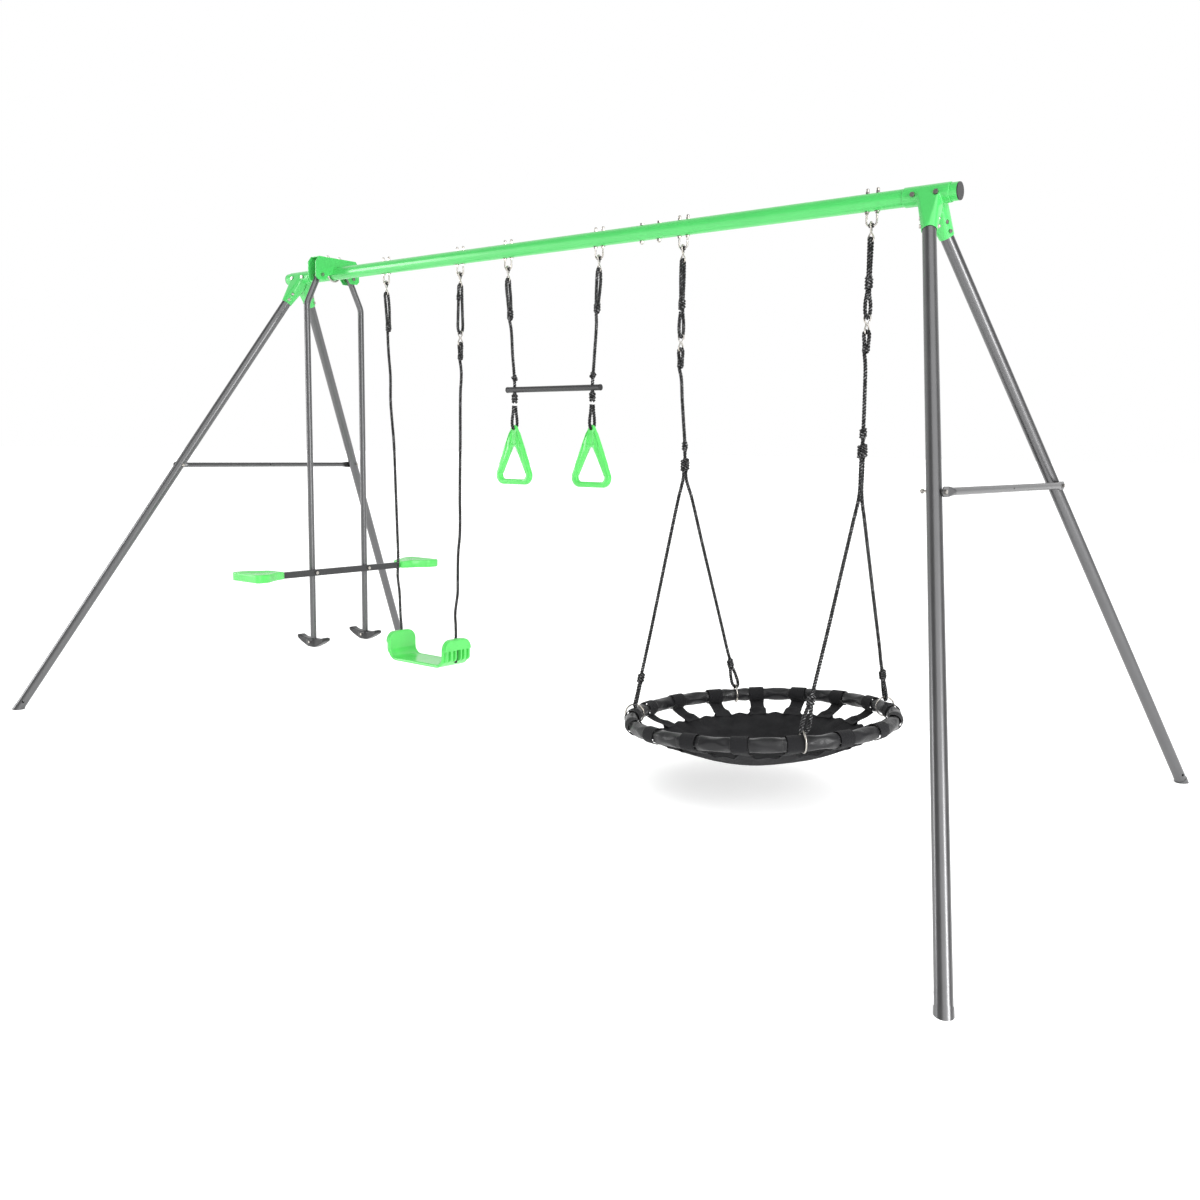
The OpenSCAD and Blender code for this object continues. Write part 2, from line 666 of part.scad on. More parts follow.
// A hanger's outline: upright, bent inwards near its top, and straight on to its pivot
module hanger_shape(front, r, extra) {
    rise = (hanger_y - pivot_y - bend_r * (1 - cos(hanger_bend))) / sin(hanger_bend);
    bend_z = beam_height - pivot_drop - rise * cos(hanger_bend) - bend_r * sin(hanger_bend);
    mirror([0, front > 0 ? 0 : 1, 0]) {
        translate([0, hanger_y, peg_z + peg_floor - extra])
            cylinder(r = r, h = bend_z - peg_z - peg_floor + extra);
        translate([0, hanger_y - bend_r, bend_z]) rotate([0, -90, 0]) rotate([0, 0, 90 - hanger_bend])
            rotate_extrude(angle = hanger_bend) translate([bend_r, 0]) circle(r = r);
        translate([0, pivot_y, beam_height - pivot_drop]) rotate([hanger_bend, 0, 0])
            translate([0, 0, -rise]) cylinder(r = r, h = rise + 14 + extra);
    }
}

module glider_hanger(front) {
    loose = front > 0 ? 5 : run_gap;
    color(leg_grey) translate([glider_x, 0, 0]) difference() {
        hanger_shape(front, hanger_d / 2, 0);
        hanger_shape(front, hanger_d / 2 - hanger_wall, 5);
        bar_x([0, front * pivot_y, beam_height - pivot_drop], bolt_r + run_gap, 60);
        bar_x([0, front * hanger_y, bar_z], bolt_r + loose, 60);
        bar_y([0, front * hanger_y, peg_z + peg_bolt_z], small_bolt_r + 0.2, 80);
    }
}

module glider_hanger_front() { glider_hanger(-1); }
module glider_hanger_rear() { glider_hanger(1); }

// A foot peg with raised tips, on a hanger's foot
module glider_peg(front) {
    color(black) translate([glider_x, front * hanger_y, peg_z]) difference() {
        translate([0, peg_depth / 2, 0])
            rotate([90, 0, 0]) linear_extrude(peg_depth) polygon(peg_outline);
        translate([0, 0, peg_floor - 0.2]) cylinder(r = hanger_d / 2 + fit_gap, h = 60);
        bar_y([0, 0, peg_bolt_z], small_bolt_r + 0.2, 2 * peg_depth);
    }
}

module glider_peg_front() { glider_peg(-1); }
module glider_peg_rear() { glider_peg(1); }

module glider_peg_bolt(front) {
    color(zinc) translate([glider_x, front * hanger_y - peg_depth / 2 - 0.2, peg_z + peg_bolt_z])
        rotate([-90, 0, 0]) bolt_and_nut(small_bolt_r, peg_depth + 0.4);
}

module glider_peg_bolt_front() { glider_peg_bolt(-1); }
module glider_peg_bolt_rear() { glider_peg_bolt(1); }

module glider_crossbar() {
    color(dark_grey) translate([crossbar_x, 0, bar_z]) difference() {
        cube([bar_t, 2 * bar_half, bar_h], center = true);
        cube([bar_t - 2 * bar_wall, 2 * bar_half + 2, bar_h - 2 * bar_wall], center = true);
        for (s = [-1, 1]) {
            bar_x([0, s * hanger_y, 0], bolt_r + 0.1, 60);
            for (y = seat_bolt_y) translate([0, s * y, 0]) cylinder(r = small_bolt_r + 0.2, h = 60, center = true);
        }
    }
}

// A moulded seat that saddles the cross bar's end
module glider_seat(front) {
    top = 22;
    low = -12;
    channel_t = bar_t + 2 * seat_gap;
    channel_end = bar_half + seat_gap;
    color(plastic_green) translate([crossbar_x, 0, bar_z]) difference() {
        hull() {
            for (s = [-1, 1]) {
                translate([s * 70, front * 463, low]) cylinder(r = 22, h = top - low, $fn = 32);
                translate([s * 80, front * 430, low]) cylinder(r = 12, h = top - low, $fn = 32);
                translate([s * 26, front * 325, low]) cylinder(r = 10, h = top - low - 4, $fn = 32);
            }
        }
        translate([-channel_t / 2, front > 0 ? 0 : -channel_end, -bar_h])
            cube([channel_t, channel_end, 1.5 * bar_h + seat_gap]);
        for (y = seat_bolt_y) translate([0, front * y, -bar_h])
            cylinder(r = small_bolt_r + 0.2, h = 1.5 * bar_h + seat_bolt_depth);
    }
}

module glider_seat_front() { glider_seat(-1); }
module glider_seat_rear() { glider_seat(1); }

// The cross bar's two pivot bolts and the four bolts that hold the seats
module glider_bar_bolts() {
    color(zinc) translate([crossbar_x, 0, bar_z]) {
        for (s = [-1, 1]) {
            translate([bar_t / 2 + 0.2, s * hanger_y, 0]) rotate([0, -90, 0]) bolt_and_nut(bolt_r, bar_t + hanger_d + 2);
            for (y = seat_bolt_y) translate([0, s * y, -bar_h / 2 - 0.2]) {
                translate([0, 0, -4]) cylinder(r = 6, h = 4, $fn = 6);
                cylinder(r = small_bolt_r, h = bar_h + seat_bolt_depth);
            }
        }
    }
}

// ---- Belt swing ----

module belt_hooks() {
    color(zinc) {
        for (x = belt_hangers) translate([x, 0, hinge_z]) hook();
        translate([belt_hangers[1], 0, hinge_z - 217]) rotate([0, 0, 90]) hook_small();
    }
}

// The lower hook of an adjuster: both eyes the same size
module hook_small() {
    for (k = [0, 1])
        translate([0, 0, -k * hook_pitch]) rotate([0, 0, 90 * k]) rotate([0, 90, 0])
            rotate_extrude() translate([lower_eye, 0]) circle(r = wire_r);
    translate([0, 0, lower_eye - hook_pitch]) cylinder(r = wire_r + 0.5, h = hook_pitch - 2 * lower_eye);
}

module belt_rope_left() {
    color(black) translate([belt_hangers[0], 0, hinge_z]) rope(belt_left_route);
}

module belt_adjuster() {
    color(black) translate([belt_hangers[1], 0, hinge_z]) rope(belt_adjuster_route);
}

module belt_rope_right() {
    color(black) translate([belt_hangers[1], 0, hinge_z]) rope(belt_right_route, [0, 1, 0]);
}

module belt_knots() {
    color(black) {
        translate([belt_hangers[0], 0, hinge_z]) coil_knot([10, 0, -172], 13, 40);
        translate([belt_hangers[1], 0, hinge_z]) {
            coil_knot([0, -9, -83], 9.5, 34);
            coil_knot([0, 0, -305], 12, 26);
        }
    }
}

// The belt seat's side outline, a U with rounded corners
module belt_outline() {
    half = belt_half + 17;
    wall = 26;
    pan = 14;
    bend = 34;
    difference() {
        union() {
            translate([-half + bend, 0]) square([2 * (half - bend), belt_h]);
            translate([-half, bend]) square([2 * half, belt_h - bend]);
            for (s = [-1, 1]) translate([s * (half - bend), bend]) circle(r = bend);
        }
        translate([-half + wall + 24, pan]) square([2 * (half - wall - 24), belt_h]);
        translate([-half + wall, pan + 24]) square([2 * (half - wall), belt_h]);
        for (s = [-1, 1]) translate([s * (half - wall - 24), pan + 24]) circle(r = 24);
    }
}

module belt_seat() {
    half = belt_half + 17;
    round_r = 34;
    band = 34;
    rib_pitch = 22;
    color(plastic_green) translate([belt_x, 0, belt_top - belt_h]) difference() {
        intersection() {
            translate([0, belt_depth / 2, 0]) rotate([90, 0, 0]) linear_extrude(belt_depth) belt_outline();
            union() {
                translate([-half - 1, -belt_depth / 2, -1]) cube([2 * half + 2, belt_depth, belt_h + 1 - round_r]);
                translate([-half - 1, -belt_depth / 2 + round_r, 0]) cube([2 * half + 2, belt_depth - 2 * round_r, belt_h]);
                for (s = [-1, 1])
                    bar_x([0, s * (belt_depth / 2 - round_r), belt_h - round_r], round_r, 2 * half + 2);
            }
        }
        for (s = [-1, 1]) {
            translate([s * belt_half, 0, -10]) cylinder(r = rope_r + 1, h = belt_h + 20);
            translate([s * (belt_half + 10), 0, (belt_h - band) / 2 - 4]) cube([20, 14, belt_h - band + 8], center = true);
            for (k = [-2, -1, 1, 2])
                translate([s * (half - 6), k * rib_pitch, (belt_h - band) / 2 + 8])
                    cube([16, 12, belt_h - band - 16], center = true);
        }
    }
}

// ---- Trapeze and hand rings ----

module trapeze_hooks() {
    color(zinc) for (x = trapeze_hangers) translate([x, 0, hinge_z]) hook();
}

module trapeze_rope_left() {
    color(black) translate([trapeze_hangers[0], 0, hinge_z]) rope(trapeze_left_route);
}

module trapeze_rope_right() {
    color(black) translate([trapeze_hangers[1], 0, hinge_z]) rope(trapeze_right_route);
}

// Coil knots below the hooks, knots on the bar, and coil knots under it
module trapeze_knots() {
    color(black) {
        translate([trapeze_hangers[0], 0, hinge_z]) coil_knot([11, 0, -164], 13, 44);
        translate([trapeze_hangers[1], 0, hinge_z]) coil_knot([-6, 0, -164], 13, 44);
        for (x = rope_holes) translate([x, 0, hinge_z]) {
            coil_knot([0, 0, -392], 10, 20);
            coil_knot([0, 0, -464], 12, 34);
        }
    }
}

module trapeze_bar() {
    color(dark_grey) translate([0, 0, hinge_z + trapeze_drop]) difference() {
        bar_x([trapeze_x, 0, 0], trapeze_d / 2, 2 * trapeze_half);
        bar_x([trapeze_x, 0, 0], trapeze_d / 2 - trapeze_wall, 2 * trapeze_half + 2);
        for (x = rope_holes) translate([x, 0, 0]) cylinder(r = rope_r + 0.5, h = 2 * trapeze_d, center = true);
    }
}

module trapeze_bar_plugs() {
    color(black) translate([0, 0, hinge_z + trapeze_drop]) for (s = [-1, 1]) {
        bar_x([trapeze_x + s * (trapeze_half + rim_t / 2 + fit_gap), 0, 0], trapeze_d / 2 + 0.5, rim_t);
        bar_x([trapeze_x + s * (trapeze_half - plug_l / 2 + 1), 0, 0], trapeze_d / 2 - trapeze_wall - fit_gap, plug_l);
    }
}

// A hand ring: a rounded triangle with an eye at its top, in the plane of the beam
module hand_ring() {
    corner = 34;
    wall = 24;
    grip = 20;
    gusset = 77;
    tip = 14;
    difference() {
        translate([0, ring_t / 2, 0]) rotate([90, 0, 0]) linear_extrude(ring_t) difference() {
            hull() {
                translate([0, -tip]) circle(r = tip, $fn = 32);
                for (s = [-1, 1]) translate([s * (ring_w / 2 - corner), corner - ring_h]) circle(r = corner, $fn = 32);
            }
            hull() {
                translate([0, -gusset - 16]) circle(r = 16, $fn = 32);
                for (s = [-1, 1])
                    translate([s * (ring_w / 2 - wall - 16), grip + 16 - ring_h]) circle(r = 16, $fn = 32);
            }
        }
        bar_y([0, 0, -13], 6, 2 * ring_t);
        for (s = [-1, 1]) translate([0, s * (ring_t / 2 + 4), -12]) cube([80, 16, 26], center = true);
    }
}

module ring_rope_left() {
    color(black) translate([rope_holes[0], 0, hinge_z]) rope(ring_route);
}

module ring_rope_right() {
    color(black) translate([rope_holes[1], 0, hinge_z]) rope(ring_route);
}

module ring_left() {
    color(plastic_green) translate([rope_holes[0], 0, hinge_z + ring_top]) hand_ring();
}

module ring_right() {
    color(plastic_green) translate([rope_holes[1], 0, hinge_z + ring_top]) hand_ring();
}

// ---- Nest swing ----

// The children in the nest's own frame: its rim lies in the XY plane
module in_nest() {
    translate([nest_x, 0, nest_z]) rotate([0, -nest_tilt, 0]) children();
}

module nest_hooks() {
    color(zinc) {
        for (x = nest_hangers) translate([x, 0, hinge_z]) hook();
        translate([nest_hangers[0], 0, hinge_z - 282]) rotate([0, 0, 90]) hook_small();
        translate([nest_hangers[1], 0, hinge_z - 260]) rotate([0, 0, 90]) hook_small();
    }
}

module nest_adjusters() {
    color(black) {
        translate([nest_hangers[0], 0, hinge_z]) rope(nest_left_loop);
        translate([nest_hangers[1], 0, hinge_z]) rope(nest_right_loop);
    }
}

module nest_ropes_left() {
    color(black) translate([nest_hangers[0], 0, hinge_z]) {
        rope(nest_left_main, [0, 1, 0]);
        rope(nest_front_left_leg);
        rope(nest_rear_left_leg);
    }
}

module nest_ropes_right() {
    color(black) translate([nest_hangers[1], 0, hinge_z]) {
        rope(nest_right_main, [0, 1, 0]);
        rope(nest_front_right_leg);
        rope(nest_rear_right_leg);
    }
}

module leg_knot(middle, along) {
    half = 20 * unit(along);
    bar(middle - half, middle + half, 13);
}

module nest_knots() {
    color(black) {
        translate([nest_hangers[0], 0, hinge_z]) {
            coil_knot([0, 0, -177], 13, 46);
            coil_knot([0, 0, -370], 12, 26);
            coil_knot([25, 0, -633], 10, 38);
            coil_knot([27, 0, -694], 16, 52);
            for (k = leg_knots_left) leg_knot(k[0], k[1]);
        }
        translate([nest_hangers[1], 0, hinge_z]) {
            coil_knot([0, 0, -160], 13, 50);
            coil_knot([0, 0, -348], 12, 26);
            coil_knot([3, 0, -590], 12, 40);
            coil_knot([3, 0, -642], 16, 52);
            for (k = leg_knots_right) leg_knot(k[0], k[1]);
        }
    }
}

// A metal link round the rim at the foot of each of the four ropes
module nest_links() {
    color(zinc) in_nest() for (a = leg_angles) rotate([0, 0, a])
        translate([nest_r, 0, link_lift]) rotate([90, 0, 0])
            rotate_extrude() translate([link_r, 0]) circle(r = wire_r);
}

module nest_ring() {
    color(dark_grey) in_nest() rotate_extrude($fn = 96) translate([nest_r, 0]) circle(r = 12.5);
}

// A stretch of sleeve round the rim, from one angle on
module rim_sleeve(start, sweep, outer, inner) {
    rotate([0, 0, start]) rotate_extrude(angle = sweep) translate([nest_r, 0]) difference() {
        circle(r = outer);
        circle(r = inner);
    }
}

module nest_pads() {
    color(black) in_nest() for (k = [0:strap_count - 1])
        rim_sleeve(strap_start + k * strap_pitch + strap_sweep / 2 + 0.1, strap_pitch - strap_sweep - 0.2, pad_d / 2, 12.7);
}

// Webbing round the rim, and its tail in to the mat
module nest_straps() {
    color(black) in_nest() for (k = [0:strap_count - 1]) {
        rim_sleeve(strap_start + k * strap_pitch - strap_sweep / 2, strap_sweep, pad_d / 2 - 1, 12.7);
        rotate([0, 0, strap_start + k * strap_pitch]) translate([nest_r, 0, 0])
            rotate([0, atan2(-mat_edge, mat_r - nest_r), 0])
                translate([pad_d / 2 - 5, -strap_w / 2, -1.5])
                    cube([norm([mat_edge, mat_r - nest_r]) - pad_d / 2 + 15, strap_w, 3]);
    }
}

// The mat: a thin sagging dish
module nest_mat() {
    steps = 8;
    mat_t = 3;
    curve = [for (i = [0:steps]) [mat_r * i / steps, -nest_sag + (nest_sag + mat_edge) * pow(i / steps, 2)]];
    color(black) in_nest() rotate_extrude($fn = 96) polygon(concat(
        curve,
        [for (i = [steps:-1:0]) curve[i] + [0, mat_t]]
    ));
}

beam_left();
beam_right();
beam_end_caps();
bracket_left_front();
bracket_left_rear();
bracket_right_front();
bracket_right_rear();
bracket_fasteners();
leg_left_front();
leg_left_rear();
leg_right_front();
leg_right_rear();
foot_caps();
brace_left();
brace_right();
brace_fasteners();
splice_fasteners();
hanger_ubolts();
hanger_nuts();
hanger_bushings();
glider_bracket();
glider_clamp();
glider_pivots();
glider_hanger_front();
glider_peg_front();
glider_peg_bolt_front();
glider_hanger_rear();
glider_peg_rear();
glider_peg_bolt_rear();
glider_crossbar();
glider_seat_front();
glider_seat_rear();
glider_bar_bolts();
belt_hooks();
belt_rope_left();
belt_adjuster();
belt_rope_right();
belt_knots();
belt_seat();
trapeze_hooks();
trapeze_rope_left();
trapeze_rope_right();
trapeze_knots();
trapeze_bar();
trapeze_bar_plugs();
ring_rope_left();
ring_left();
ring_rope_right();
ring_right();
nest_hooks();
nest_adjusters();
nest_ropes_left();
nest_ropes_right();
nest_knots();
nest_links();
nest_ring();
nest_pads();
nest_straps();
nest_mat();
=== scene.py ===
"""Garden swing set: finishes, ropes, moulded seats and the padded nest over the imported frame."""

import json  # noqa: E402
import logging  # noqa: E402
import math  # noqa: E402
from dataclasses import dataclass, field  # noqa: E402
from enum import Enum  # noqa: E402
from typing import Callable, Sequence  # noqa: E402

import bmesh  # noqa: E402
import bpy  # noqa: E402
import numpy as np  # noqa: E402
from mathutils import Matrix, Vector  # noqa: E402


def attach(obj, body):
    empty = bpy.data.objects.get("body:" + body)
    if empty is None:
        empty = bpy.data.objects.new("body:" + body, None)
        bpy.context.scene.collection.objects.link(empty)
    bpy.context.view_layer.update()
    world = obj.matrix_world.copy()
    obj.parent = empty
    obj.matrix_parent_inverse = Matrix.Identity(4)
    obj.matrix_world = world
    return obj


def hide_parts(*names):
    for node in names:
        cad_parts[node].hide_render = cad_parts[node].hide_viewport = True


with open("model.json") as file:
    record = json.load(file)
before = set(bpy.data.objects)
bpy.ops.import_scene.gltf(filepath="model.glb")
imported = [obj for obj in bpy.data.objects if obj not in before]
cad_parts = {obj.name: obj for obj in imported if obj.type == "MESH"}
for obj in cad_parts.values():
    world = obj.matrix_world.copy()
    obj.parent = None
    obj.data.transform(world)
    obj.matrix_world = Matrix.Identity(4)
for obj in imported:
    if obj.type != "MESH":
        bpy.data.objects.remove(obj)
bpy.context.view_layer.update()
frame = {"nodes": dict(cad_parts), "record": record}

LOG = logging.getLogger("swing_set")
MM = 0.001
TAU = 2 * math.pi

Point = tuple[float, float, float]
Colour = tuple[float, float, float]


class Body(Enum):
    """The moving bodies that pieces ride on."""

    FRAME = "frame"
    GLIDER_FRONT = "glider_front"
    GLIDER_REAR = "glider_rear"
    GLIDER_BAR = "glider_bar"
    BELT = "belt_swing"
    TRAPEZE = "trapeze"
    RING_LEFT = "hand_ring_left"
    RING_RIGHT = "hand_ring_right"
    NEST = "nest"


class Slot(Enum):
    """The record's material slots."""

    BEAM = "beam_paint"
    LEG = "leg_paint"
    BAR = "bar_paint"
    ZINC = "zinc"
    GREEN = "green_plastic"
    BLACK = "black_plastic"
    ROPE = "rope"
    VINYL = "pad_vinyl"
    WEBBING = "webbing"
    MAT = "mat_fabric"


# ---- Shader building ----


class Value:
    """A number socket whose operators add Math nodes."""

    def __init__(self, graph: "Graph", socket: bpy.types.NodeSocket) -> None:
        """Wraps one output socket of a node tree."""
        self.graph = graph
        self.socket = socket

    def _math(self, operation: str, *others: "Value | float", swap: bool = False) -> "Value":
        """Adds one Math node.

        Args:
            operation: The node's operation.
            others: The other operands.
            swap: Puts this value second.

        Returns:
            The node's output.
        """
        operands = [self, *others]
        if swap:
            operands.reverse()
        inputs = dict(enumerate(operands))
        return self.graph.value("ShaderNodeMath", {"operation": operation}, inputs)

    def __add__(self, other: "Value | float") -> "Value":
        """The sum of two values."""
        return self._math("ADD", other)

    __radd__ = __add__

    def __mul__(self, other: "Value | float") -> "Value":
        """The product of two values."""
        return self._math("MULTIPLY", other)

    __rmul__ = __mul__

    def __sub__(self, other: "Value | float") -> "Value":
        """This value less another."""
        return self._math("SUBTRACT", other)

    def __rsub__(self, other: "Value | float") -> "Value":
        """Another value less this one."""
        return self._math("SUBTRACT", other, swap=True)

    def __truediv__(self, other: "Value | float") -> "Value":
        """This value over another."""
        return self._math("DIVIDE", other)

    def __pow__(self, other: "Value | float") -> "Value":
        """This value to a power."""
        return self._math("POWER", other)

    def __abs__(self) -> "Value":
        """The size of the value."""
        return self._math("ABSOLUTE")

    def above(self, level: "Value | float") -> "Value":
        """1 where this value is over a level, 0 elsewhere."""
        return self._math("GREATER_THAN", level)

    def below(self, level: "Value | float") -> "Value":
        """1 where this value is under a level, 0 elsewhere."""
        return self._math("LESS_THAN", level)

    def sine(self) -> "Value":
        """The sine of the value."""
        return self._math("SINE")

    def within(self, period: float) -> "Value":
        """The remainder of the value over a period."""
        return self._math("FLOORED_MODULO", period)

    def clamped(self) -> "Value":
        """The value held between 0 and 1."""
        return self._math("MAXIMUM", 0.0)._math("MINIMUM", 1.0)


class Graph:
    """A node tree under construction."""

    def __init__(self, tree: bpy.types.NodeTree) -> None:
        """Starts on an empty tree."""
        self.tree = tree
        self.tree.nodes.clear()

    def node(
        self,
        kind: str,
        settings: dict[str, object] | None = None,
        inputs: dict[int | str, object] | None = None,
    ) -> bpy.types.Node:
        """Adds a node.

        Args:
            kind: The node's type.
            settings: Its own settings.
            inputs: Values or links for its sockets, by name or number.

        Returns:
            The node.
        """
        made = self.tree.nodes.new(kind)
        for key, setting in (settings or {}).items():
            setattr(made, key, setting)
        for key, given in (inputs or {}).items():
            self.feed(made.inputs[key], given)
        return made

    def feed(self, target: bpy.types.NodeSocket, given: object) -> None:
        """Links or sets one socket.

        Args:
            target: The socket to feed.
            given: A value, a socket, a number, or a tuple.
        """
        if isinstance(given, Value):
            self.tree.links.new(given.socket, target)
        elif isinstance(given, bpy.types.NodeSocket):
            self.tree.links.new(given, target)
        elif isinstance(given, tuple) and len(given) == 3 and target.type == "RGBA":
            target.default_value = (*given, 1.0)
        else:
            target.default_value = given

    def value(
        self,
        kind: str,
        settings: dict[str, object] | None = None,
        inputs: dict[int | str, object] | None = None,
        output: int | str = 0,
    ) -> Value:
        """Adds a node and wraps one of its number outputs."""
        return Value(self, self.node(kind, settings, inputs).outputs[output])


class Shader(Graph):
    """One procedural material under construction."""

    def __init__(self, name: str) -> None:
        """Starts a material with a Principled surface."""
        self.material = bpy.data.materials.new(name)
        self.material.use_nodes = True
        super().__init__(self.material.node_tree)
        self.surface = self.node("ShaderNodeBsdfPrincipled")
        self.node("ShaderNodeOutputMaterial", None, {"Surface": self.surface.outputs[0]})

    def place(self) -> bpy.types.NodeSocket:
        """The point on the object, in metres."""
        return self.node("ShaderNodeTexCoord").outputs["Object"]

    def strip(self) -> tuple[Value, Value]:
        """The distances along and across a strip, in metres."""
        split = self.node("ShaderNodeSeparateXYZ", None, {0: self.node("ShaderNodeTexCoord").outputs["UV"]})
        return Value(self, split.outputs[0]), Value(self, split.outputs[1])

    def stretched(self, factors: Point) -> bpy.types.NodeSocket:
        """The point on the object scaled along each axis."""
        return self.node(
            "ShaderNodeVectorMath", {"operation": "MULTIPLY"}, {0: self.place(), 1: factors}
        ).outputs[0]

    def noise(self, per_metre: float, detail: float = 3.0, at: bpy.types.NodeSocket | None = None) -> Value:
        """Smooth noise with so many cells to the metre."""
        inputs = {"Vector": at or self.place(), "Scale": per_metre, "Detail": detail}
        return self.value("ShaderNodeTexNoise", None, inputs)

    def cells(self, per_metre: float) -> bpy.types.Node:
        """A Voronoi pattern with so many cells to the metre."""
        return self.node("ShaderNodeTexVoronoi", None, {"Vector": self.place(), "Scale": per_metre})

    def blend(self, factor: Value | float, low: object, high: object) -> bpy.types.NodeSocket:
        """A colour between two colours."""
        inputs = {0: factor, 6: low, 7: high}
        return self.node("ShaderNodeMix", {"data_type": "RGBA"}, inputs).outputs[2]

    def bump(self, height: Value, depth: float) -> None:
        """Feeds the surface's normal from a height in units of depth metres."""
        node = self.node("ShaderNodeBump", None, {"Height": height, "Distance": depth, "Strength": 1.0})
        self.feed(self.surface.inputs["Normal"], node.outputs[0])

    def finish(self, **sockets: object) -> bpy.types.Material:
        """Feeds the surface's sockets.

        Args:
            sockets: Values by socket name, with underscores for spaces.

        Returns:
            The material.
        """
        for key, given in sockets.items():
            self.feed(self.surface.inputs[key.replace("_", " ")], given)
        return self.material


# ---- Finishes ----


@dataclass(frozen=True)
class PowderCoat:
    """Sprayed and baked paint on steel: soft orange peel and slightly uneven gloss."""

    name: str
    colour: Colour
    roughness: float = 0.3
    metallic: float = 0.0
    coat: float = 0.4
    mottle: float = 0.12
    peel_per_metre: float = 420.0
    peel_depth: float = 0.00012

    def build(self) -> bpy.types.Material:
        """The finish as a material."""
        s = Shader(self.name)
        patches = s.noise(9.0, 4.0)
        specks = s.noise(1300.0, 2.0)
        dark = tuple(c * (1 - 2 * self.mottle) for c in self.colour)
        light = tuple(min(1.0, c * (1 + self.mottle)) for c in self.colour)
        tone = (patches * 0.8 + specks * 0.2).clamped()
        s.bump(s.noise(self.peel_per_metre, 2.0) + specks * 0.25, self.peel_depth)
        s.surface.inputs["Coat Roughness"].default_value = 0.12
        return s.finish(
            Base_Color=s.blend(tone, dark, light),
            Roughness=patches * 0.12 + (self.roughness - 0.06),
            Metallic=self.metallic,
            Coat_Weight=self.coat,
        )


@dataclass(frozen=True)
class ZincPlate:
    """Bright zinc with a yellow passivation bloom and fine handling scratches."""

    name: str
    silver: Colour = (0.50, 0.50, 0.51)
    bloom: Colour = (0.36, 0.28, 0.15)
    bloom_share: float = 0.30

    def build(self) -> bpy.types.Material:
        """The finish as a material."""
        s = Shader(self.name)
        patches = s.noise(60.0, 3.0)
        scratches = s.noise(900.0, 2.0, s.stretched((1.0, 1.0, 0.08)))
        s.bump(scratches, 0.00008)
        return s.finish(
            Base_Color=s.blend((patches * (2 * self.bloom_share)).clamped(), self.silver, self.bloom),
            Roughness=scratches * 0.22 + 0.16,
            Metallic=1.0,
        )


@dataclass(frozen=True)
class MouldedPlastic:
    """Injection-moulded plastic: spark-eroded grain, flow marks and faint scuffs."""

    name: str
    colour: Colour
    roughness: float = 0.28
    coat: float = 0.25
    grain_depth: float = 0.00006
    scuff: float = 0.10

    def build(self) -> bpy.types.Material:
        """The finish as a material."""
        s = Shader(self.name)
        flow = s.noise(14.0, 3.0)
        grain = s.noise(1500.0, 2.0)
        scuffs = (s.noise(160.0, 5.0, s.stretched((1.0, 0.3, 1.0))) - 0.62).clamped() * 4.0
        dark = tuple(c * 0.80 for c in self.colour)
        light = tuple(min(1.0, c * 1.10 + 0.01) for c in self.colour)
        worn = tuple(min(1.0, c * 1.05 + 0.10) for c in self.colour)
        base = s.blend(flow, dark, light)
        s.bump(grain + flow * 2.0, self.grain_depth)
        s.surface.inputs["Coat Roughness"].default_value = 0.15
        return s.finish(
            Base_Color=s.blend(scuffs.clamped() * self.scuff, base, worn),
            Roughness=grain * 0.12 + (self.roughness - 0.06) + scuffs * 0.05,
            Coat_Weight=self.coat,
        )


@dataclass(frozen=True)
class LaidRope:
    """Black three-strand rope: deep grooves with painted shade in them, and a painted highlight with pale
    painted glints on the filaments of each strand's crest.
    """

    name: str
    colour: Colour = (0.002, 0.002, 0.002)
    # Painted highlight colour of each strand's crest; the grooves keep the darker base colour as painted
    # shade.
    painted_crest_highlight: Colour = (0.020, 0.020, 0.021)
    # Colour of the painted glints, painted highlights on the crests' filaments.
    painted_glint: Colour = (0.50, 0.50, 0.51)

    def build(self) -> bpy.types.Material:
        """The finish as a material."""
        s = Shader(self.name)
        turns, share = s.strip()
        # 1 on each strand's crest, 0 in the grooves: drives the painted crest highlight as well as the
        # roughness and bumps.
        high = abs(((share - turns) * (3 * math.pi)).sine())
        filaments = s.noise(1900.0, 2.0, s.stretched((1.0, 1.0, 0.30)))
        lumps = s.noise(150.0, 2.0)
        # Where the painted glints go: noisy specks on the strands' crests only.
        painted_glint_mask = ((filaments * 0.5 + lumps * 0.7 - 0.60).clamped() * 5.0).clamped() * high ** 4.0
        s.surface.inputs["Specular IOR Level"].default_value = 0.12
        s.bump(filaments + high * 0.8, 0.0006)
        return s.finish(
            # Base colour: painted shade in the grooves, a painted highlight on the crests and painted glints
            # over it.
            Base_Color=s.blend(painted_glint_mask, s.blend(high, self.colour, self.painted_crest_highlight), self.painted_glint),
            Roughness=0.60 - high * 0.20,
        )


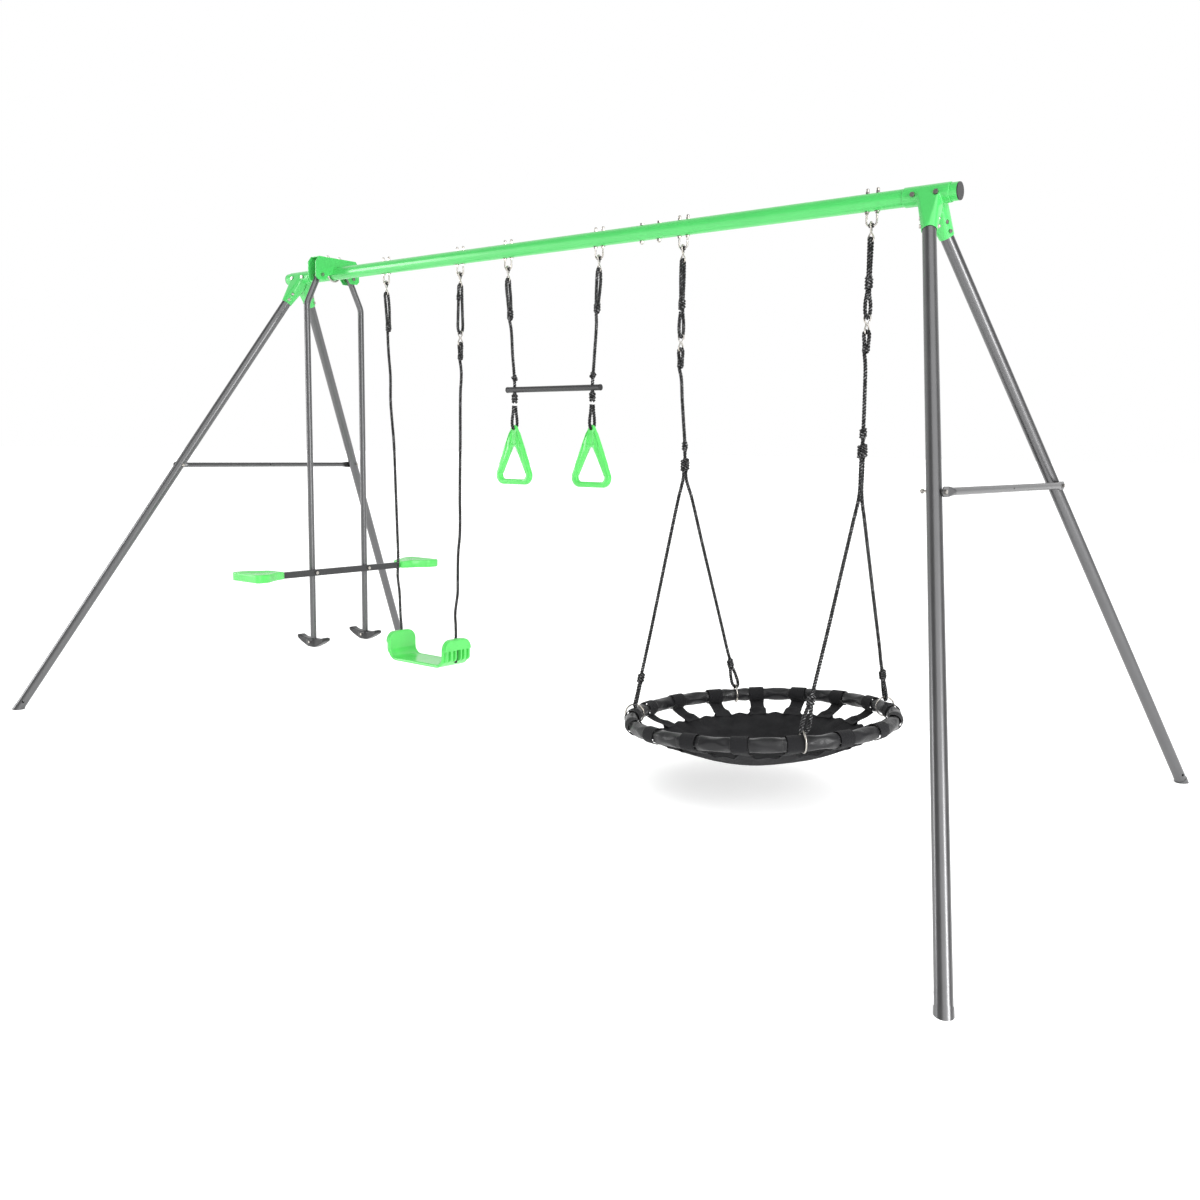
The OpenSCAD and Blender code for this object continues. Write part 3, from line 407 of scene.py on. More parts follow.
@dataclass(frozen=True)
class PadVinyl:
    """Dark vinyl sleeve: leather grain, a stitched hem at each end and rubbed highlights."""

    name: str
    colour: Colour = (0.009, 0.009, 0.010)
    thread: Colour = (0.06, 0.06, 0.06)
    hem: float = 0.006
    stitch: float = 0.007
    pad_length: float = 0.104

    def build(self) -> bpy.types.Material:
        """The finish as a material."""
        s = Shader(self.name)
        along, around = s.strip()
        grain = Value(s, s.cells(900.0).outputs["Distance"])
        patches = s.noise(22.0, 4.0)
        end = self.pad_length / 2 - abs(along - self.pad_length / 2)
        on_line = abs(end - self.hem).below(0.0007)
        dashes = around.within(self.stitch).below(self.stitch * 0.62)
        thread = on_line * dashes
        groove = abs(end - self.hem).below(0.0014)
        light = tuple(c * 1.7 for c in self.colour)
        base = s.blend((patches * patches * 1.6).clamped(), self.colour, light)
        s.surface.inputs["Specular IOR Level"].default_value = 0.30
        s.bump(grain * 0.35 + thread * 1.6 - groove * 0.9 + patches * 0.8, 0.0005)
        return s.finish(
            Base_Color=s.blend(thread, base, self.thread),
            Roughness=patches * 0.22 + 0.24 + thread * 0.3,
            Coat_Weight=0.08,
        )


@dataclass(frozen=True)
class WovenWebbing:
    """Flat nylon webbing: a herringbone weave and bound edges."""

    name: str
    colour: Colour = (0.004, 0.004, 0.005)
    light: Colour = (0.022, 0.022, 0.024)
    pick: float = 0.0024
    half_width: float = 0.025

    def build(self) -> bpy.types.Material:
        """The finish as a material."""
        s = Shader(self.name)
        along, across = s.strip()
        zigzag = abs(across.within(4 * self.pick) - 2 * self.pick)
        weave = ((along + zigzag) * (TAU / self.pick)).sine() * 0.5 + 0.5
        lint = s.noise(700.0, 3.0)
        edge = abs(across).above(self.half_width - 0.003)
        s.bump(weave * 0.8 + lint * 0.5 + edge * 0.7, 0.0004)
        s.surface.inputs["Sheen Weight"].default_value = 0.04
        s.surface.inputs["Specular IOR Level"].default_value = 0.2
        return s.finish(
            Base_Color=s.blend((weave * lint * 1.5).clamped(), self.colour, self.light),
            Roughness=0.9 - weave * 0.15,
        )


@dataclass(frozen=True)
class WovenMat:
    """Coated mesh cloth of the nest's seat: a plain weave with a worn, dusty bloom."""

    name: str
    colour: Colour = (0.006, 0.006, 0.007)
    light: Colour = (0.035, 0.035, 0.037)
    thread: float = 0.0032

    def build(self) -> bpy.types.Material:
        """The finish as a material."""
        s = Shader(self.name)
        split = s.node("ShaderNodeSeparateXYZ", None, {0: s.place()})
        x, y = (Value(s, split.outputs[i]) for i in (0, 1))
        warp = (x * (TAU / self.thread)).sine()
        weft = (y * (TAU / self.thread)).sine()
        weave = warp * weft * 0.5 + 0.5
        dust = s.noise(16.0, 5.0)
        lint = s.noise(420.0, 3.0)
        bloom = ((dust - 0.35) * 2.2).clamped() * (weave * 0.6 + 0.2) + lint * 0.25
        s.bump(weave + lint * 0.4, 0.0006)
        s.surface.inputs["Specular IOR Level"].default_value = 0.15
        return s.finish(
            Base_Color=s.blend(bloom.clamped(), self.colour, self.light),
            Roughness=0.88 - weave * 0.2,
        )


@dataclass(frozen=True)
class Palette:
    """Every finish of the set, one to a slot."""

    finishes: dict[Slot, object] = field(
        default_factory=lambda: {
            Slot.BEAM: PowderCoat("green_powder_coat", (0.068, 0.55, 0.118), 0.32, coat=0.3, mottle=0.07),
            Slot.LEG: PowderCoat(
                "grey_powder_coat", (0.138, 0.138, 0.141), 0.31, 0.78, 0.10, 0.08, 160.0, 0.000012
            ),
            Slot.BAR: PowderCoat("charcoal_powder_coat", (0.030, 0.030, 0.032), 0.42, coat=0.1),
            Slot.ZINC: ZincPlate("zinc_plate"),
            Slot.GREEN: MouldedPlastic("green_moulding", (0.085, 0.65, 0.108)),
            Slot.BLACK: MouldedPlastic("black_moulding", (0.006, 0.006, 0.007), 0.36, 0.1, scuff=0.12),
            Slot.ROPE: LaidRope("laid_rope"),
            Slot.VINYL: PadVinyl("pad_vinyl"),
            Slot.WEBBING: WovenWebbing("woven_webbing"),
            Slot.MAT: WovenMat("woven_mat"),
        }
    )
    made: dict[Slot, bpy.types.Material] = field(default_factory=dict)

    def of(self, slot: Slot) -> bpy.types.Material:
        """The material of a slot, built when it is first asked for."""
        if slot not in self.made:
            self.made[slot] = self.finishes[slot].build()
        return self.made[slot]

    def dress_nodes(self) -> None:
        """Gives each carried-over node the finish of its slot."""
        for part in frame["record"]["subparts"]:
            node = frame["nodes"][part["node"]]
            node.data.materials.clear()
            node.data.materials.append(self.of(Slot(part["material_slot"])))


# ---- Mesh building ----


class Skin:
    """Gathers closed shells of points and faces into one mesh."""

    def __init__(self) -> None:
        """Starts with nothing."""
        self.points: list[np.ndarray] = []
        self.faces: list[tuple[int, ...]] = []
        self.places: list[tuple[float, float]] = []
        self.count = 0

    def wrap(
        self,
        rows: np.ndarray,
        along: Sequence[float] | None = None,
        girth: float = 1.0,
        closed: bool = False,
        capped: bool = True,
    ) -> None:
        """Skins rings of points, one ring to a row.

        Args:
            rows: The points, as ring, place round the ring, and X, Y, Z.
            along: The distance of each ring, for the strip's own measure.
            girth: The distance round a ring.
            closed: Joins the last ring to the first.
            capped: Closes both ends.
        """
        n, m = rows.shape[:2]
        steps = list(along) if along is not None else list(np.arange(n + 1.0))
        start = self.count
        self.points.append(rows.reshape(-1, 3))
        self.count += n * m
        for i in range(n if closed else n - 1):
            here, there = start + i * m, start + (i + 1) % n * m
            a, b = steps[i], steps[(i + 1) % len(steps)]
            for j in range(m):
                k = (j + 1) % m
                self.faces.append((here + j, here + k, there + k, there + j))
                u, v = girth * j / m, girth * (j + 1) / m
                self.places += [(a, u), (a, v), (b, v), (b, u)]
        if capped and not closed:
            self.faces.append(tuple(start + j for j in reversed(range(m))))
            self.faces.append(tuple(start + (n - 1) * m + j for j in range(m)))
            self.places += [(steps[0], 0.0)] * m + [(steps[n - 1], 0.0)] * m

    def slab(self, top: np.ndarray, under: np.ndarray) -> None:
        """Closes two sheets of points with the same rows and columns into one slab.

        Args:
            top: The upper sheet.
            under: The lower sheet.
        """
        self.wrap(np.concatenate([top, under[:, ::-1]], axis=1))

    def make(self, name: str, crease: float = 40.0) -> bpy.types.Object:
        """The gathered shells as an object.

        Args:
            name: The piece's name.
            crease: Edges that bend by more degrees than this stay sharp.

        Returns:
            The object, linked to the scene.
        """
        mesh = bpy.data.meshes.new(name)
        mesh.from_pydata(np.concatenate(self.points).tolist(), [], self.faces)
        layer = mesh.uv_layers.new(name="strip")
        layer.data.foreach_set("uv", np.array(self.places, np.float32).reshape(-1))
        turn_outwards(mesh)
        mesh.polygons.foreach_set("use_smooth", [True] * len(mesh.polygons))
        mesh.set_sharp_from_angle(angle=math.radians(crease))
        made = bpy.data.objects.new(name, mesh)
        bpy.context.scene.collection.objects.link(made)
        return made


def turn_outwards(mesh: bpy.types.Mesh) -> None:
    """Turns every shell's faces outwards."""
    work = bmesh.new()
    work.from_mesh(mesh)
    bmesh.ops.recalc_face_normals(work, faces=work.faces)
    work.to_mesh(mesh)
    work.free()


def dress(
    piece: bpy.types.Object, palette: Palette, slot: Slot, body: Body, *nodes: str
) -> bpy.types.Object:
    """Gives a piece the finish of its slot and its body, and hides the CAD nodes that it replaces.

    Args:
        piece: The object.
        palette: The finishes.
        slot: The material slot.
        body: The body that it rides on.
        nodes: The CAD nodes that it replaces.

    Returns:
        The same object.
    """
    piece.data.materials.clear()
    piece.data.materials.append(palette.of(slot))
    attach(piece, body.value)
    if nodes:
        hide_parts(*nodes)
    LOG.info("%s: %d faces, rides on %s", piece.name, len(piece.data.polygons), body.value)
    return piece


def smooth_route(points: np.ndarray, spacing: float, closed: bool = False) -> np.ndarray:
    """An even line of points along a curve through the given ones.

    Args:
        points: The points that the curve passes through.
        spacing: The distance between the line's points.
        closed: Whether the curve returns to its start.

    Returns:
        The line, one point to a row.
    """
    if closed:
        ends = np.vstack([points[-1], points, points[0], points[1]])
    else:
        ends = np.vstack([2 * points[0] - points[1], points, 2 * points[-1] - points[-2]])
    fine = []
    shares = np.linspace(0, 1, 13)[:-1, None]
    for p0, p1, p2, p3 in zip(ends, ends[1:], ends[2:], ends[3:]):
        gap = np.linalg.norm(p2 - p1)
        before, after = np.linalg.norm(p1 - p0), np.linalg.norm(p3 - p2)
        start = gap * ((p1 - p0) / before + (p2 - p1) / gap) / 2
        end = gap * ((p2 - p1) / gap + (p3 - p2) / after) / 2
        t = shares
        fine.append(
            (2 * t**3 - 3 * t**2 + 1) * p1
            + (t**3 - 2 * t**2 + t) * start
            + (3 * t**2 - 2 * t**3) * p2
            + (t**3 - t**2) * end
        )
    line = np.vstack(fine + [points[:1] if closed else points[-1:]])
    run = np.concatenate([[0], np.cumsum(np.linalg.norm(np.diff(line, axis=0), axis=1))])
    count = max(4, round(run[-1] / spacing))
    wanted = np.linspace(0, run[-1], count + 1)
    if closed:
        wanted = wanted[:-1]
    return np.stack([np.interp(wanted, run, line[:, k]) for k in range(3)], axis=1)


def sweep(
    line: np.ndarray, section: Callable[[float], np.ndarray], closed: bool = False
) -> tuple[np.ndarray, list[float]]:
    """Carries a section along a line without twisting it.

    Args:
        line: The line of points.
        section: Gives the section's two offsets per point at a distance along the line.
        closed: Whether the line returns to its start.

    Returns:
        The rings of points and each ring's distance along the line.
    """
    if closed:
        tangents = np.roll(line, -1, axis=0) - np.roll(line, 1, axis=0)
    else:
        tangents = np.gradient(line, axis=0)
    tangents /= np.linalg.norm(tangents, axis=1)[:, None]
    side = np.cross(tangents[0], (0.31, 0.92, 0.24))
    side /= np.linalg.norm(side)
    sides = [side]
    for t in tangents[1:]:
        side = sides[-1] - t * np.dot(sides[-1], t)
        sides.append(side / np.linalg.norm(side))
    normals = np.array(sides)
    if closed:
        last = sides[-1] - tangents[0] * np.dot(sides[-1], tangents[0])
        turn = math.atan2(np.dot(np.cross(last, sides[0]), tangents[0]), np.dot(last, sides[0]))
        angles = np.linspace(0, turn, len(line), endpoint=False)[:, None]
        across = np.cross(tangents, normals)
        normals = normals * np.cos(angles) + across * np.sin(angles)
    binormals = np.cross(tangents, normals)
    run = [0.0, *np.cumsum(np.linalg.norm(np.diff(line, axis=0), axis=1))]
    rings = [
        p + offsets[:, :1] * n + offsets[:, 1:] * b
        for p, n, b, offsets in zip(line, normals, binormals, (section(s) for s in run))
    ]
    return np.array(rings), run


def round_section(radius: float, sides: int = 12) -> Callable[[float], np.ndarray]:
    """A round section of one radius all along."""
    angles = np.linspace(0, TAU, sides, endpoint=False)
    ring = radius * np.stack([np.cos(angles), np.sin(angles)], axis=1)
    return lambda s: ring


def laid_section(radius: float, pitch: float, sides: int) -> Callable[[float], np.ndarray]:
    """The section of a rope laid from three strands.

    Args:
        radius: The rope's outer radius.
        pitch: The length in which a strand goes once round.
        sides: The number of points round the rope.

    Returns:
        The section at a distance along the rope.
    """
    angles = np.linspace(0, TAU, sides, endpoint=False)
    strand, offset = 0.52 * radius, 0.48 * radius

    def at(s: float) -> np.ndarray:
        """The section at one distance."""
        local = (angles - TAU * s / pitch) % (TAU / 3) - TAU / 6
        reach = offset * np.cos(local) + np.sqrt(strand**2 - (offset * np.sin(local)) ** 2)
        return reach[:, None] * np.stack([np.cos(angles), np.sin(angles)], axis=1)

    return at


# ---- Camera, light and floor ----


@dataclass
class Studio:
    """A plain pale floor, soft light and the camera."""

    camera_place: Point = (2.7238, -3.0976, 1.090)
    camera_right: Point = (0.7811, 0.6242, 0.0138)
    camera_up: Point = (-0.0934, 0.0949, 0.9911)
    camera_forward: Point = (-0.6174, 0.7755, -0.1324)
    lens: float = 33.87
    floor_size: float = 400.0
    floor_glow: float = 0.46
    sky_near: float = 0.26
    sky_far: float = 1.06
    sun_from: Point = (0.66, -0.42, 0.80)
    sun_watts: float = 2.2
    sun_spread: float = 80.0

    def build(self) -> None:
        """Makes the camera, the lights and the floor."""
        scene = bpy.context.scene
        scene.view_settings.view_transform = "Standard"
        data = bpy.data.cameras.new("camera")
        data.lens = self.lens
        camera = bpy.data.objects.new("camera", data)
        axes = Matrix((self.camera_right, self.camera_up, tuple(-v for v in self.camera_forward)))
        camera.matrix_world = Matrix.Translation(self.camera_place) @ axes.transposed().to_4x4()
        scene.collection.objects.link(camera)
        scene.camera = camera
        self.sun()
        self.softbox("right_softbox", (5.2, -1.3, 1.7), (1.4, 0.0, 1.2), (0.8, 3.2), 130)
        self.softbox("left_softbox", (-4.8, -3.4, 2.0), (-1.2, 0.0, 1.0), (1.0, 2.6), 95)
        self.sky()
        self.floor()

    def sun(self) -> None:
        """Adds the broad key light."""
        data = bpy.data.lights.new("key_light", "SUN")
        data.energy = self.sun_watts
        data.angle = math.radians(self.sun_spread)
        lamp = bpy.data.objects.new("key_light", data)
        lamp.rotation_euler = (-Vector(self.sun_from)).to_track_quat("-Z", "Y").to_euler()
        bpy.context.scene.collection.objects.link(lamp)

    def softbox(
        self, name: str, place: Point, target: Point, size: tuple[float, float], watts: float
    ) -> None:
        """Adds a soft light aimed at a point.

        Args:
            name: The light's name.
            place: Its place.
            target: The point that it faces.
            size: Its width and height.
            watts: Its power.
        """
        data = bpy.data.lights.new(name, "AREA")
        data.shape, data.energy = "RECTANGLE", watts
        data.size, data.size_y = size
        lamp = bpy.data.objects.new(name, data)
        lamp.location = place
        lamp.rotation_euler = (Vector(target) - Vector(place)).to_track_quat("-Z", "Y").to_euler()
        bpy.context.scene.collection.objects.link(lamp)

    def sky(self) -> None:
        """Surrounds the set with plain white walls that give most of their light from behind it."""
        world = bpy.data.worlds.new("studio_walls")
        world.use_nodes = True
        g = Graph(world.node_tree)
        way = g.node("ShaderNodeTexCoord").outputs["Generated"]
        ahead = g.value(
            "ShaderNodeVectorMath", {"operation": "DOT_PRODUCT"}, {0: way, 1: (-0.62, 0.78, 0.0)}, output=1
        )
        share = ((ahead - 0.1) * 2.6).clamped()
        light = share * (self.sky_far - self.sky_near) + self.sky_near
        seen = g.value("ShaderNodeLightPath", output="Is Camera Ray")
        inputs = {"Color": (1.0, 1.0, 1.0), "Strength": seen * (1.0 - light) + light}
        background = g.node("ShaderNodeBackground", None, inputs)
        g.node("ShaderNodeOutputWorld", None, {"Surface": background.outputs[0]})
        bpy.context.scene.world = world

    def floor(self) -> None:
        """Lays the floor."""
        half = self.floor_size / 2
        mesh = bpy.data.meshes.new("floor")
        corners = [(-half, -half, 0), (half, -half, 0), (half, half, 0), (-half, half, 0)]
        mesh.from_pydata(corners, [], [(0, 1, 2, 3)])
        s = Shader("floor_paint")
        s.surface.inputs["Emission Strength"].default_value = self.floor_glow
        s.surface.inputs["Specular IOR Level"].default_value = 0.0
        base = s.blend(s.noise(0.8), (0.90, 0.90, 0.90), (0.93, 0.93, 0.93))
        mesh.materials.append(s.finish(Base_Color=base, Roughness=0.95, Emission_Color=(1.0, 1.0, 1.0)))
        plane = bpy.data.objects.new("floor", mesh)
        bpy.context.scene.collection.objects.link(plane)


# ---- Ropes ----

# Each rope's points in millimetres from the line of the hangers' bushes at its hanger
ROUTES: dict[str, tuple[Point, ...]] = {
    "belt_left": (
        (10, 6, -185), (9, 7, -146), (6, 9, -96), (2, 9, -60), (0, 8, -44), (0, 6, -38),
        (0, 0, -36), (0, -6, -38), (0, -8, -44), (2, -9, -60), (6, -9, -96), (9, -7, -146),
        (10, -5, -190), (6, 0, -235), (10, 0, -285), (18, 0, -360), (18, 0, -470),
        (26, 0, -550), (34, 0, -620), (42, 0, -790), (50, 0, -985), (54, 0, -1100),
        (50, 0, -1175), (60, 0, -1240), (65, 0, -1335), (70, 0, -1385), (70, 0, -1495),
    ),
    "belt_adjuster": (
        (0, -9, -80), (0, -9, -60), (0, -8, -44), (0, -6, -38), (0, 0, -36), (0, 6, -38),
        (0, 8, -44), (0, 9, -60), (0, 10, -110), (0, 12, -160), (0, 12, -200), (0, 8, -211),
        (0, 0, -216), (0, -8, -211), (0, -12, -200), (0, -12, -160), (0, -10, -110), (0, -9, -86),
    ),
    "belt_right": (
        (6, 0, -305), (7, 0, -280), (8, 0, -261), (6, 0, -255), (0, 0, -253), (-6, 0, -255),
        (-8, 0, -261), (-6, 0, -280), (-5, 0, -305), (2, 0, -340), (5, 0, -370), (0, 0, -435),
        (-2, 0, -635), (-5, 0, -820), (-6, 0, -985), (-15, 0, -1055), (-18, 0, -1165),
        (-19, 0, -1215), (-29, 0, -1270), (-33, 0, -1300), (-30, 0, -1350), (-30, 0, -1495),
    ),
    "trapeze_left": (
        (12, 6, -180), (9, 7, -140), (5, 9, -100), (0, 9, -60), (0, 8, -44), (0, 6, -38),
        (0, 0, -36), (0, -6, -38), (0, -8, -44), (0, -9, -60), (5, -9, -100), (9, -7, -140),
        (12, -5, -180), (16, 0, -215), (24, 0, -310), (32, 0, -380), (35, 0, -420), (35, 0, -470),
    ),
    "trapeze_right": (
        (-6, 6, -180), (-5, 7, -140), (-2, 10, -100), (0, 10, -60), (0, 8, -44), (0, 6, -38),
        (0, 0, -36), (0, -6, -38), (0, -8, -44), (0, -10, -60), (-2, -10, -100), (-5, -7, -140),
        (-6, -5, -180), (-8, 0, -215), (-14, 0, -310), (-19, 0, -380), (-22, 0, -420), (-22, 0, -470),
    ),
    "ring": (
        (0, 6, -492), (0, 8, -515), (0, 13, -545), (0, 13, -562), (0, 10, -571), (0, 5, -575),
        (0, -5, -575), (0, -10, -571), (0, -13, -562), (0, -13, -545), (0, -8, -515), (0, -6, -492),
    ),
    "nest_adjuster_left": (
        (0, -6, -195), (0, -7, -145), (0, -9, -100), (0, -9, -60), (0, -8, -44), (0, -6, -38),
        (0, 0, -36), (0, 6, -38), (0, 8, -44), (0, 9, -60), (0, 9, -100), (0, 7, -145),
        (0, 6, -200), (0, 12, -235), (0, 12, -264), (0, 8, -276), (0, 0, -281), (0, -8, -276),
        (0, -12, -264), (0, -12, -235), (0, -6, -201),
    ),
    "nest_adjuster_right": (
        (0, -6, -175), (0, -6, -125), (0, -7, -90), (0, -8, -60), (0, -8, -44), (0, -6, -38),
        (0, 0, -36), (0, 6, -38), (0, 8, -44), (0, 8, -60), (0, 7, -90), (0, 6, -125),
        (0, 6, -190), (0, 17, -220), (0, 16, -243), (0, 9, -255), (0, 0, -259), (0, -9, -255),
        (0, -16, -243), (0, -17, -220), (0, -6, -181),
    ),
    "nest_main_left": (
        (6, 0, -375), (7, 0, -350), (8, 0, -326), (6, 0, -320), (0, 0, -318), (-6, 0, -320),
        (-8, 0, -326), (-6, 0, -350), (-5, 0, -375), (4, 0, -410), (10, 0, -480), (18, 0, -560),
        (24, 0, -620), (27, 0, -690),
    ),
    "nest_main_right": (
        (6, 0, -353), (7, 0, -328), (8, 0, -304), (6, 0, -298), (0, 0, -296), (-6, 0, -298),
        (-8, 0, -304), (-6, 0, -328), (-5, 0, -353), (0, 0, -390), (2, 0, -460), (3, 0, -540),
        (3, 0, -600), (3, 0, -650),
    ),
    "nest_front_left": (
        (27, -6, -700), (27, -8, -735), (20, -22, -800), (7, -53, -950), (-5, -84, -1100),
        (-18, -114, -1250), (-26, -133, -1340), (-30, -143, -1385), (-30, -154, -1416),
        (-31, -164, -1450), (-34, -169, -1474), (-36, -168, -1484), (-38, -163, -1489),
        (-40, -156, -1484), (-41, -151, -1474), (-39, -146, -1450), (-34, -143, -1418),
        (-30, -144, -1400),
    ),
    "nest_rear_left": (
        (27, 6, -700), (27, 8, -735), (31, 37, -800), (37, 96, -950), (44, 155, -1100),
        (51, 214, -1250), (55, 249, -1340), (57, 266, -1382), (54, 274, -1412),
        (52, 284, -1445), (53, 292, -1467), (56, 299, -1477), (61, 305, -1482),
        (66, 307, -1477), (68, 306, -1467), (67, 297, -1445), (62, 282, -1414),
        (57, 272, -1398),
    ),
    "nest_front_right": (
        (3, -6, -650), (3, -6, -700), (3, -8, -770), (2, -39, -850), (1, -102, -1000),
        (0, -164, -1150), (-2, -205, -1250), (-3, -230, -1310), (-3, -243, -1341), (1, -252, -1372),
        (4, -262, -1405), (4, -272, -1427), (1, -278, -1436), (-3, -285, -1441),
        (-8, -287, -1436), (-10, -286, -1427), (-10, -277, -1405), (-7, -261, -1374),
        (-3, -250, -1356),
    ),
    "nest_rear_right": (
        (3, 6, -650), (3, 6, -700), (3, 8, -770), (0, 42, -850), (-6, 108, -1000),
        (-12, 175, -1150), (-16, 220, -1250), (-19, 246, -1310), (-20, 261, -1343), (-26, 279, -1374),
        (-30, 296, -1406), (-31, 306, -1428), (-28, 307, -1437), (-24, 305, -1442),
        (-19, 298, -1437), (-16, 292, -1428), (-15, 282, -1406), (-17, 271, -1376),
        (-20, 267, -1358),
    ),
}


class KnotKind(Enum):
    """How a knot is tied."""

    COIL = "coil"
    OVERHAND = "overhand"
    PAIR = "pair"


@dataclass(frozen=True)
class Knot:
    """One knot, in millimetres from its hanger's bushes."""

    kind: KnotKind
    hanger: float
    middle: Point
    radius: float
    length: float
    along: Point = (0.0, 0.0, -1.0)


@dataclass
class Rigging:
    """All ropes, their knots and the wire hooks that they hang on."""

    palette: Palette
    bushes_z: float = 1.736
    belt_hangers: tuple[float, float] = (-0.860, -0.440)
    trapeze_hangers: tuple[float, float] = (-0.192, 0.233)
    bar_ropes: tuple[float, float] = (-0.157, 0.211)
    nest_hangers: tuple[float, float] = (0.580, 1.233)
    rope_d: float = 0.0124
    lay: float = 0.027
    ring_step: float = 0.0025
    rope_sides: int = 18
    wire_r: float = 0.0025
    knot_rope_r: float = 0.0052
    knot_sides: int = 14

    def rope(
        self,
        name: str,
        route: str,
        hanger: float,
        body: Body,
        node: str,
        far_end: str = "knot",
        lay: str = "hanging",
    ) -> None:
        """Makes one rope.

        Args:
            name: The piece's name.
            route: The route's name.
            hanger: The hanger's place along the beam.
            body: The body that it rides on.
            node: The CAD node that it stands for.
            far_end: What its far end meets; not used.
            lay: How it hangs; not used.
        """
        points = np.array(ROUTES[route], float) * MM + np.array([hanger, 0, self.bushes_z])
        line = smooth_route(points, self.ring_step)
        rings, run = sweep(line, laid_section(self.rope_d / 2, self.lay, self.rope_sides))
        skin = Skin()
        skin.wrap(rings, np.array(run) / self.lay)
        piece = dress(skin.make(name), self.palette, Slot.ROPE, body, node)

    def knots(self, name: str, body: Body, node: str, ties: Sequence[Knot]) -> None:
        """Makes the knots of one swing as one piece.

        Args:
            name: The piece's name.
            body: The body that it rides on.
            node: The CAD node that it stands for.
            ties: The knots.
        """
        skin = Skin()
        for tie in ties:
            for line, radius in self.windings(tie):
                rings, run = sweep(line, laid_section(radius, self.lay, self.knot_sides))
                skin.wrap(rings, np.array(run) / self.lay)
        dress(skin.make(name), self.palette, Slot.ROPE, body, node)

    def windings(self, tie: Knot) -> list[tuple[np.ndarray, float]]:
        """The lines that a knot's rope follows, with the rope's radius on each.

        Args:
            tie: The knot.

        Returns:
            The lines and radii.
        """
        rope_r = self.knot_rope_r
        reach, half = tie.radius * MM - rope_r, tie.length * MM / 2 - rope_r
        lines = []
        if tie.kind is KnotKind.COIL:
            turns = max(2.0, 2 * half / (2.02 * rope_r)) + 0.5
            t = np.linspace(0, 1, round(turns * 26))
            spread = reach * np.minimum(1.0, 0.35 + 6 * np.minimum(t, 1 - t))
            angle = TAU * turns * t
            coil = [spread * np.cos(angle), spread * np.sin(angle), half * (2 * t - 1)]
            lines.append(np.stack(coil, axis=1))
        elif tie.kind is KnotKind.PAIR:
            t = np.linspace(0, 1, 60)
            spread = reach * np.minimum(1.0, 0.3 + 7 * np.minimum(t, 1 - t))
            for start in (0.0, math.pi):
                angle = start + 0.3 + math.pi * 3.0 * t
                twist = [spread * np.cos(angle), spread * np.sin(angle), half * (2 * t - 1)]
                lines.append(np.stack(twist, axis=1))
        else:
            t = np.linspace(-0.4, TAU - 0.9, 90)
            grow = (tie.radius * MM + 0.004 - rope_r) / 3
            lines.append(
                np.stack(
                    [
                        grow * (np.sin(t) + 2 * np.sin(2 * t)),
                        -1.5 * grow * np.sin(3 * t),
                        grow * (np.cos(t) - 2 * np.cos(2 * t)),
                    ],
                    axis=1,
                )
            )
        turn = np.array(Vector((0, 0, -1)).rotation_difference(Vector(tie.along)).to_matrix())
        middle = np.array([tie.hanger, 0, self.bushes_z]) + np.array(tie.middle) * MM
        return [(line @ turn.T + middle, rope_r) for line in lines]

    def hooks(
        self, name: str, body: Body, node: str, places: Sequence[tuple[float, float, float, float]]
    ) -> None:
        """Makes bent and twisted wire hooks as one piece.

        Args:
            name: The piece's name.
            body: The body that they ride on.
            node: The CAD node that they stand for.
            places: For each hook its X, its upper eye's height, its upper eye's half width and its turn.
        """
        skin = Skin()
        t = np.linspace(0, TAU, 97)[:-1]
        for x, z, eye, turn in places:
            top, bottom = eye, -0.044
            height = (top + bottom) / 2 + (top - bottom) / 2 * np.cos(t)
            swing = np.clip((-height - 0.006) / 0.016, 0, 1)
            face = math.pi / 2 * (1 - swing * swing * (3 - 2 * swing)) + turn
            width = np.where(np.cos(t) > 0, eye + 0.0005, 0.0095) * np.sin(2 * t)
            apart = 0.0027 * np.sin(t)
            line = np.stack(
                [
                    x + width * np.cos(face) - apart * np.sin(face),
                    width * np.sin(face) + apart * np.cos(face),
                    z + height,
                ],
                axis=1,
            )
            rings, run = sweep(line, round_section(self.wire_r, 12), closed=True)
            skin.wrap(rings, [*run, run[-1] + 0.001], TAU * self.wire_r, closed=True)
        dress(skin.make(name), self.palette, Slot.ZINC, body, node)

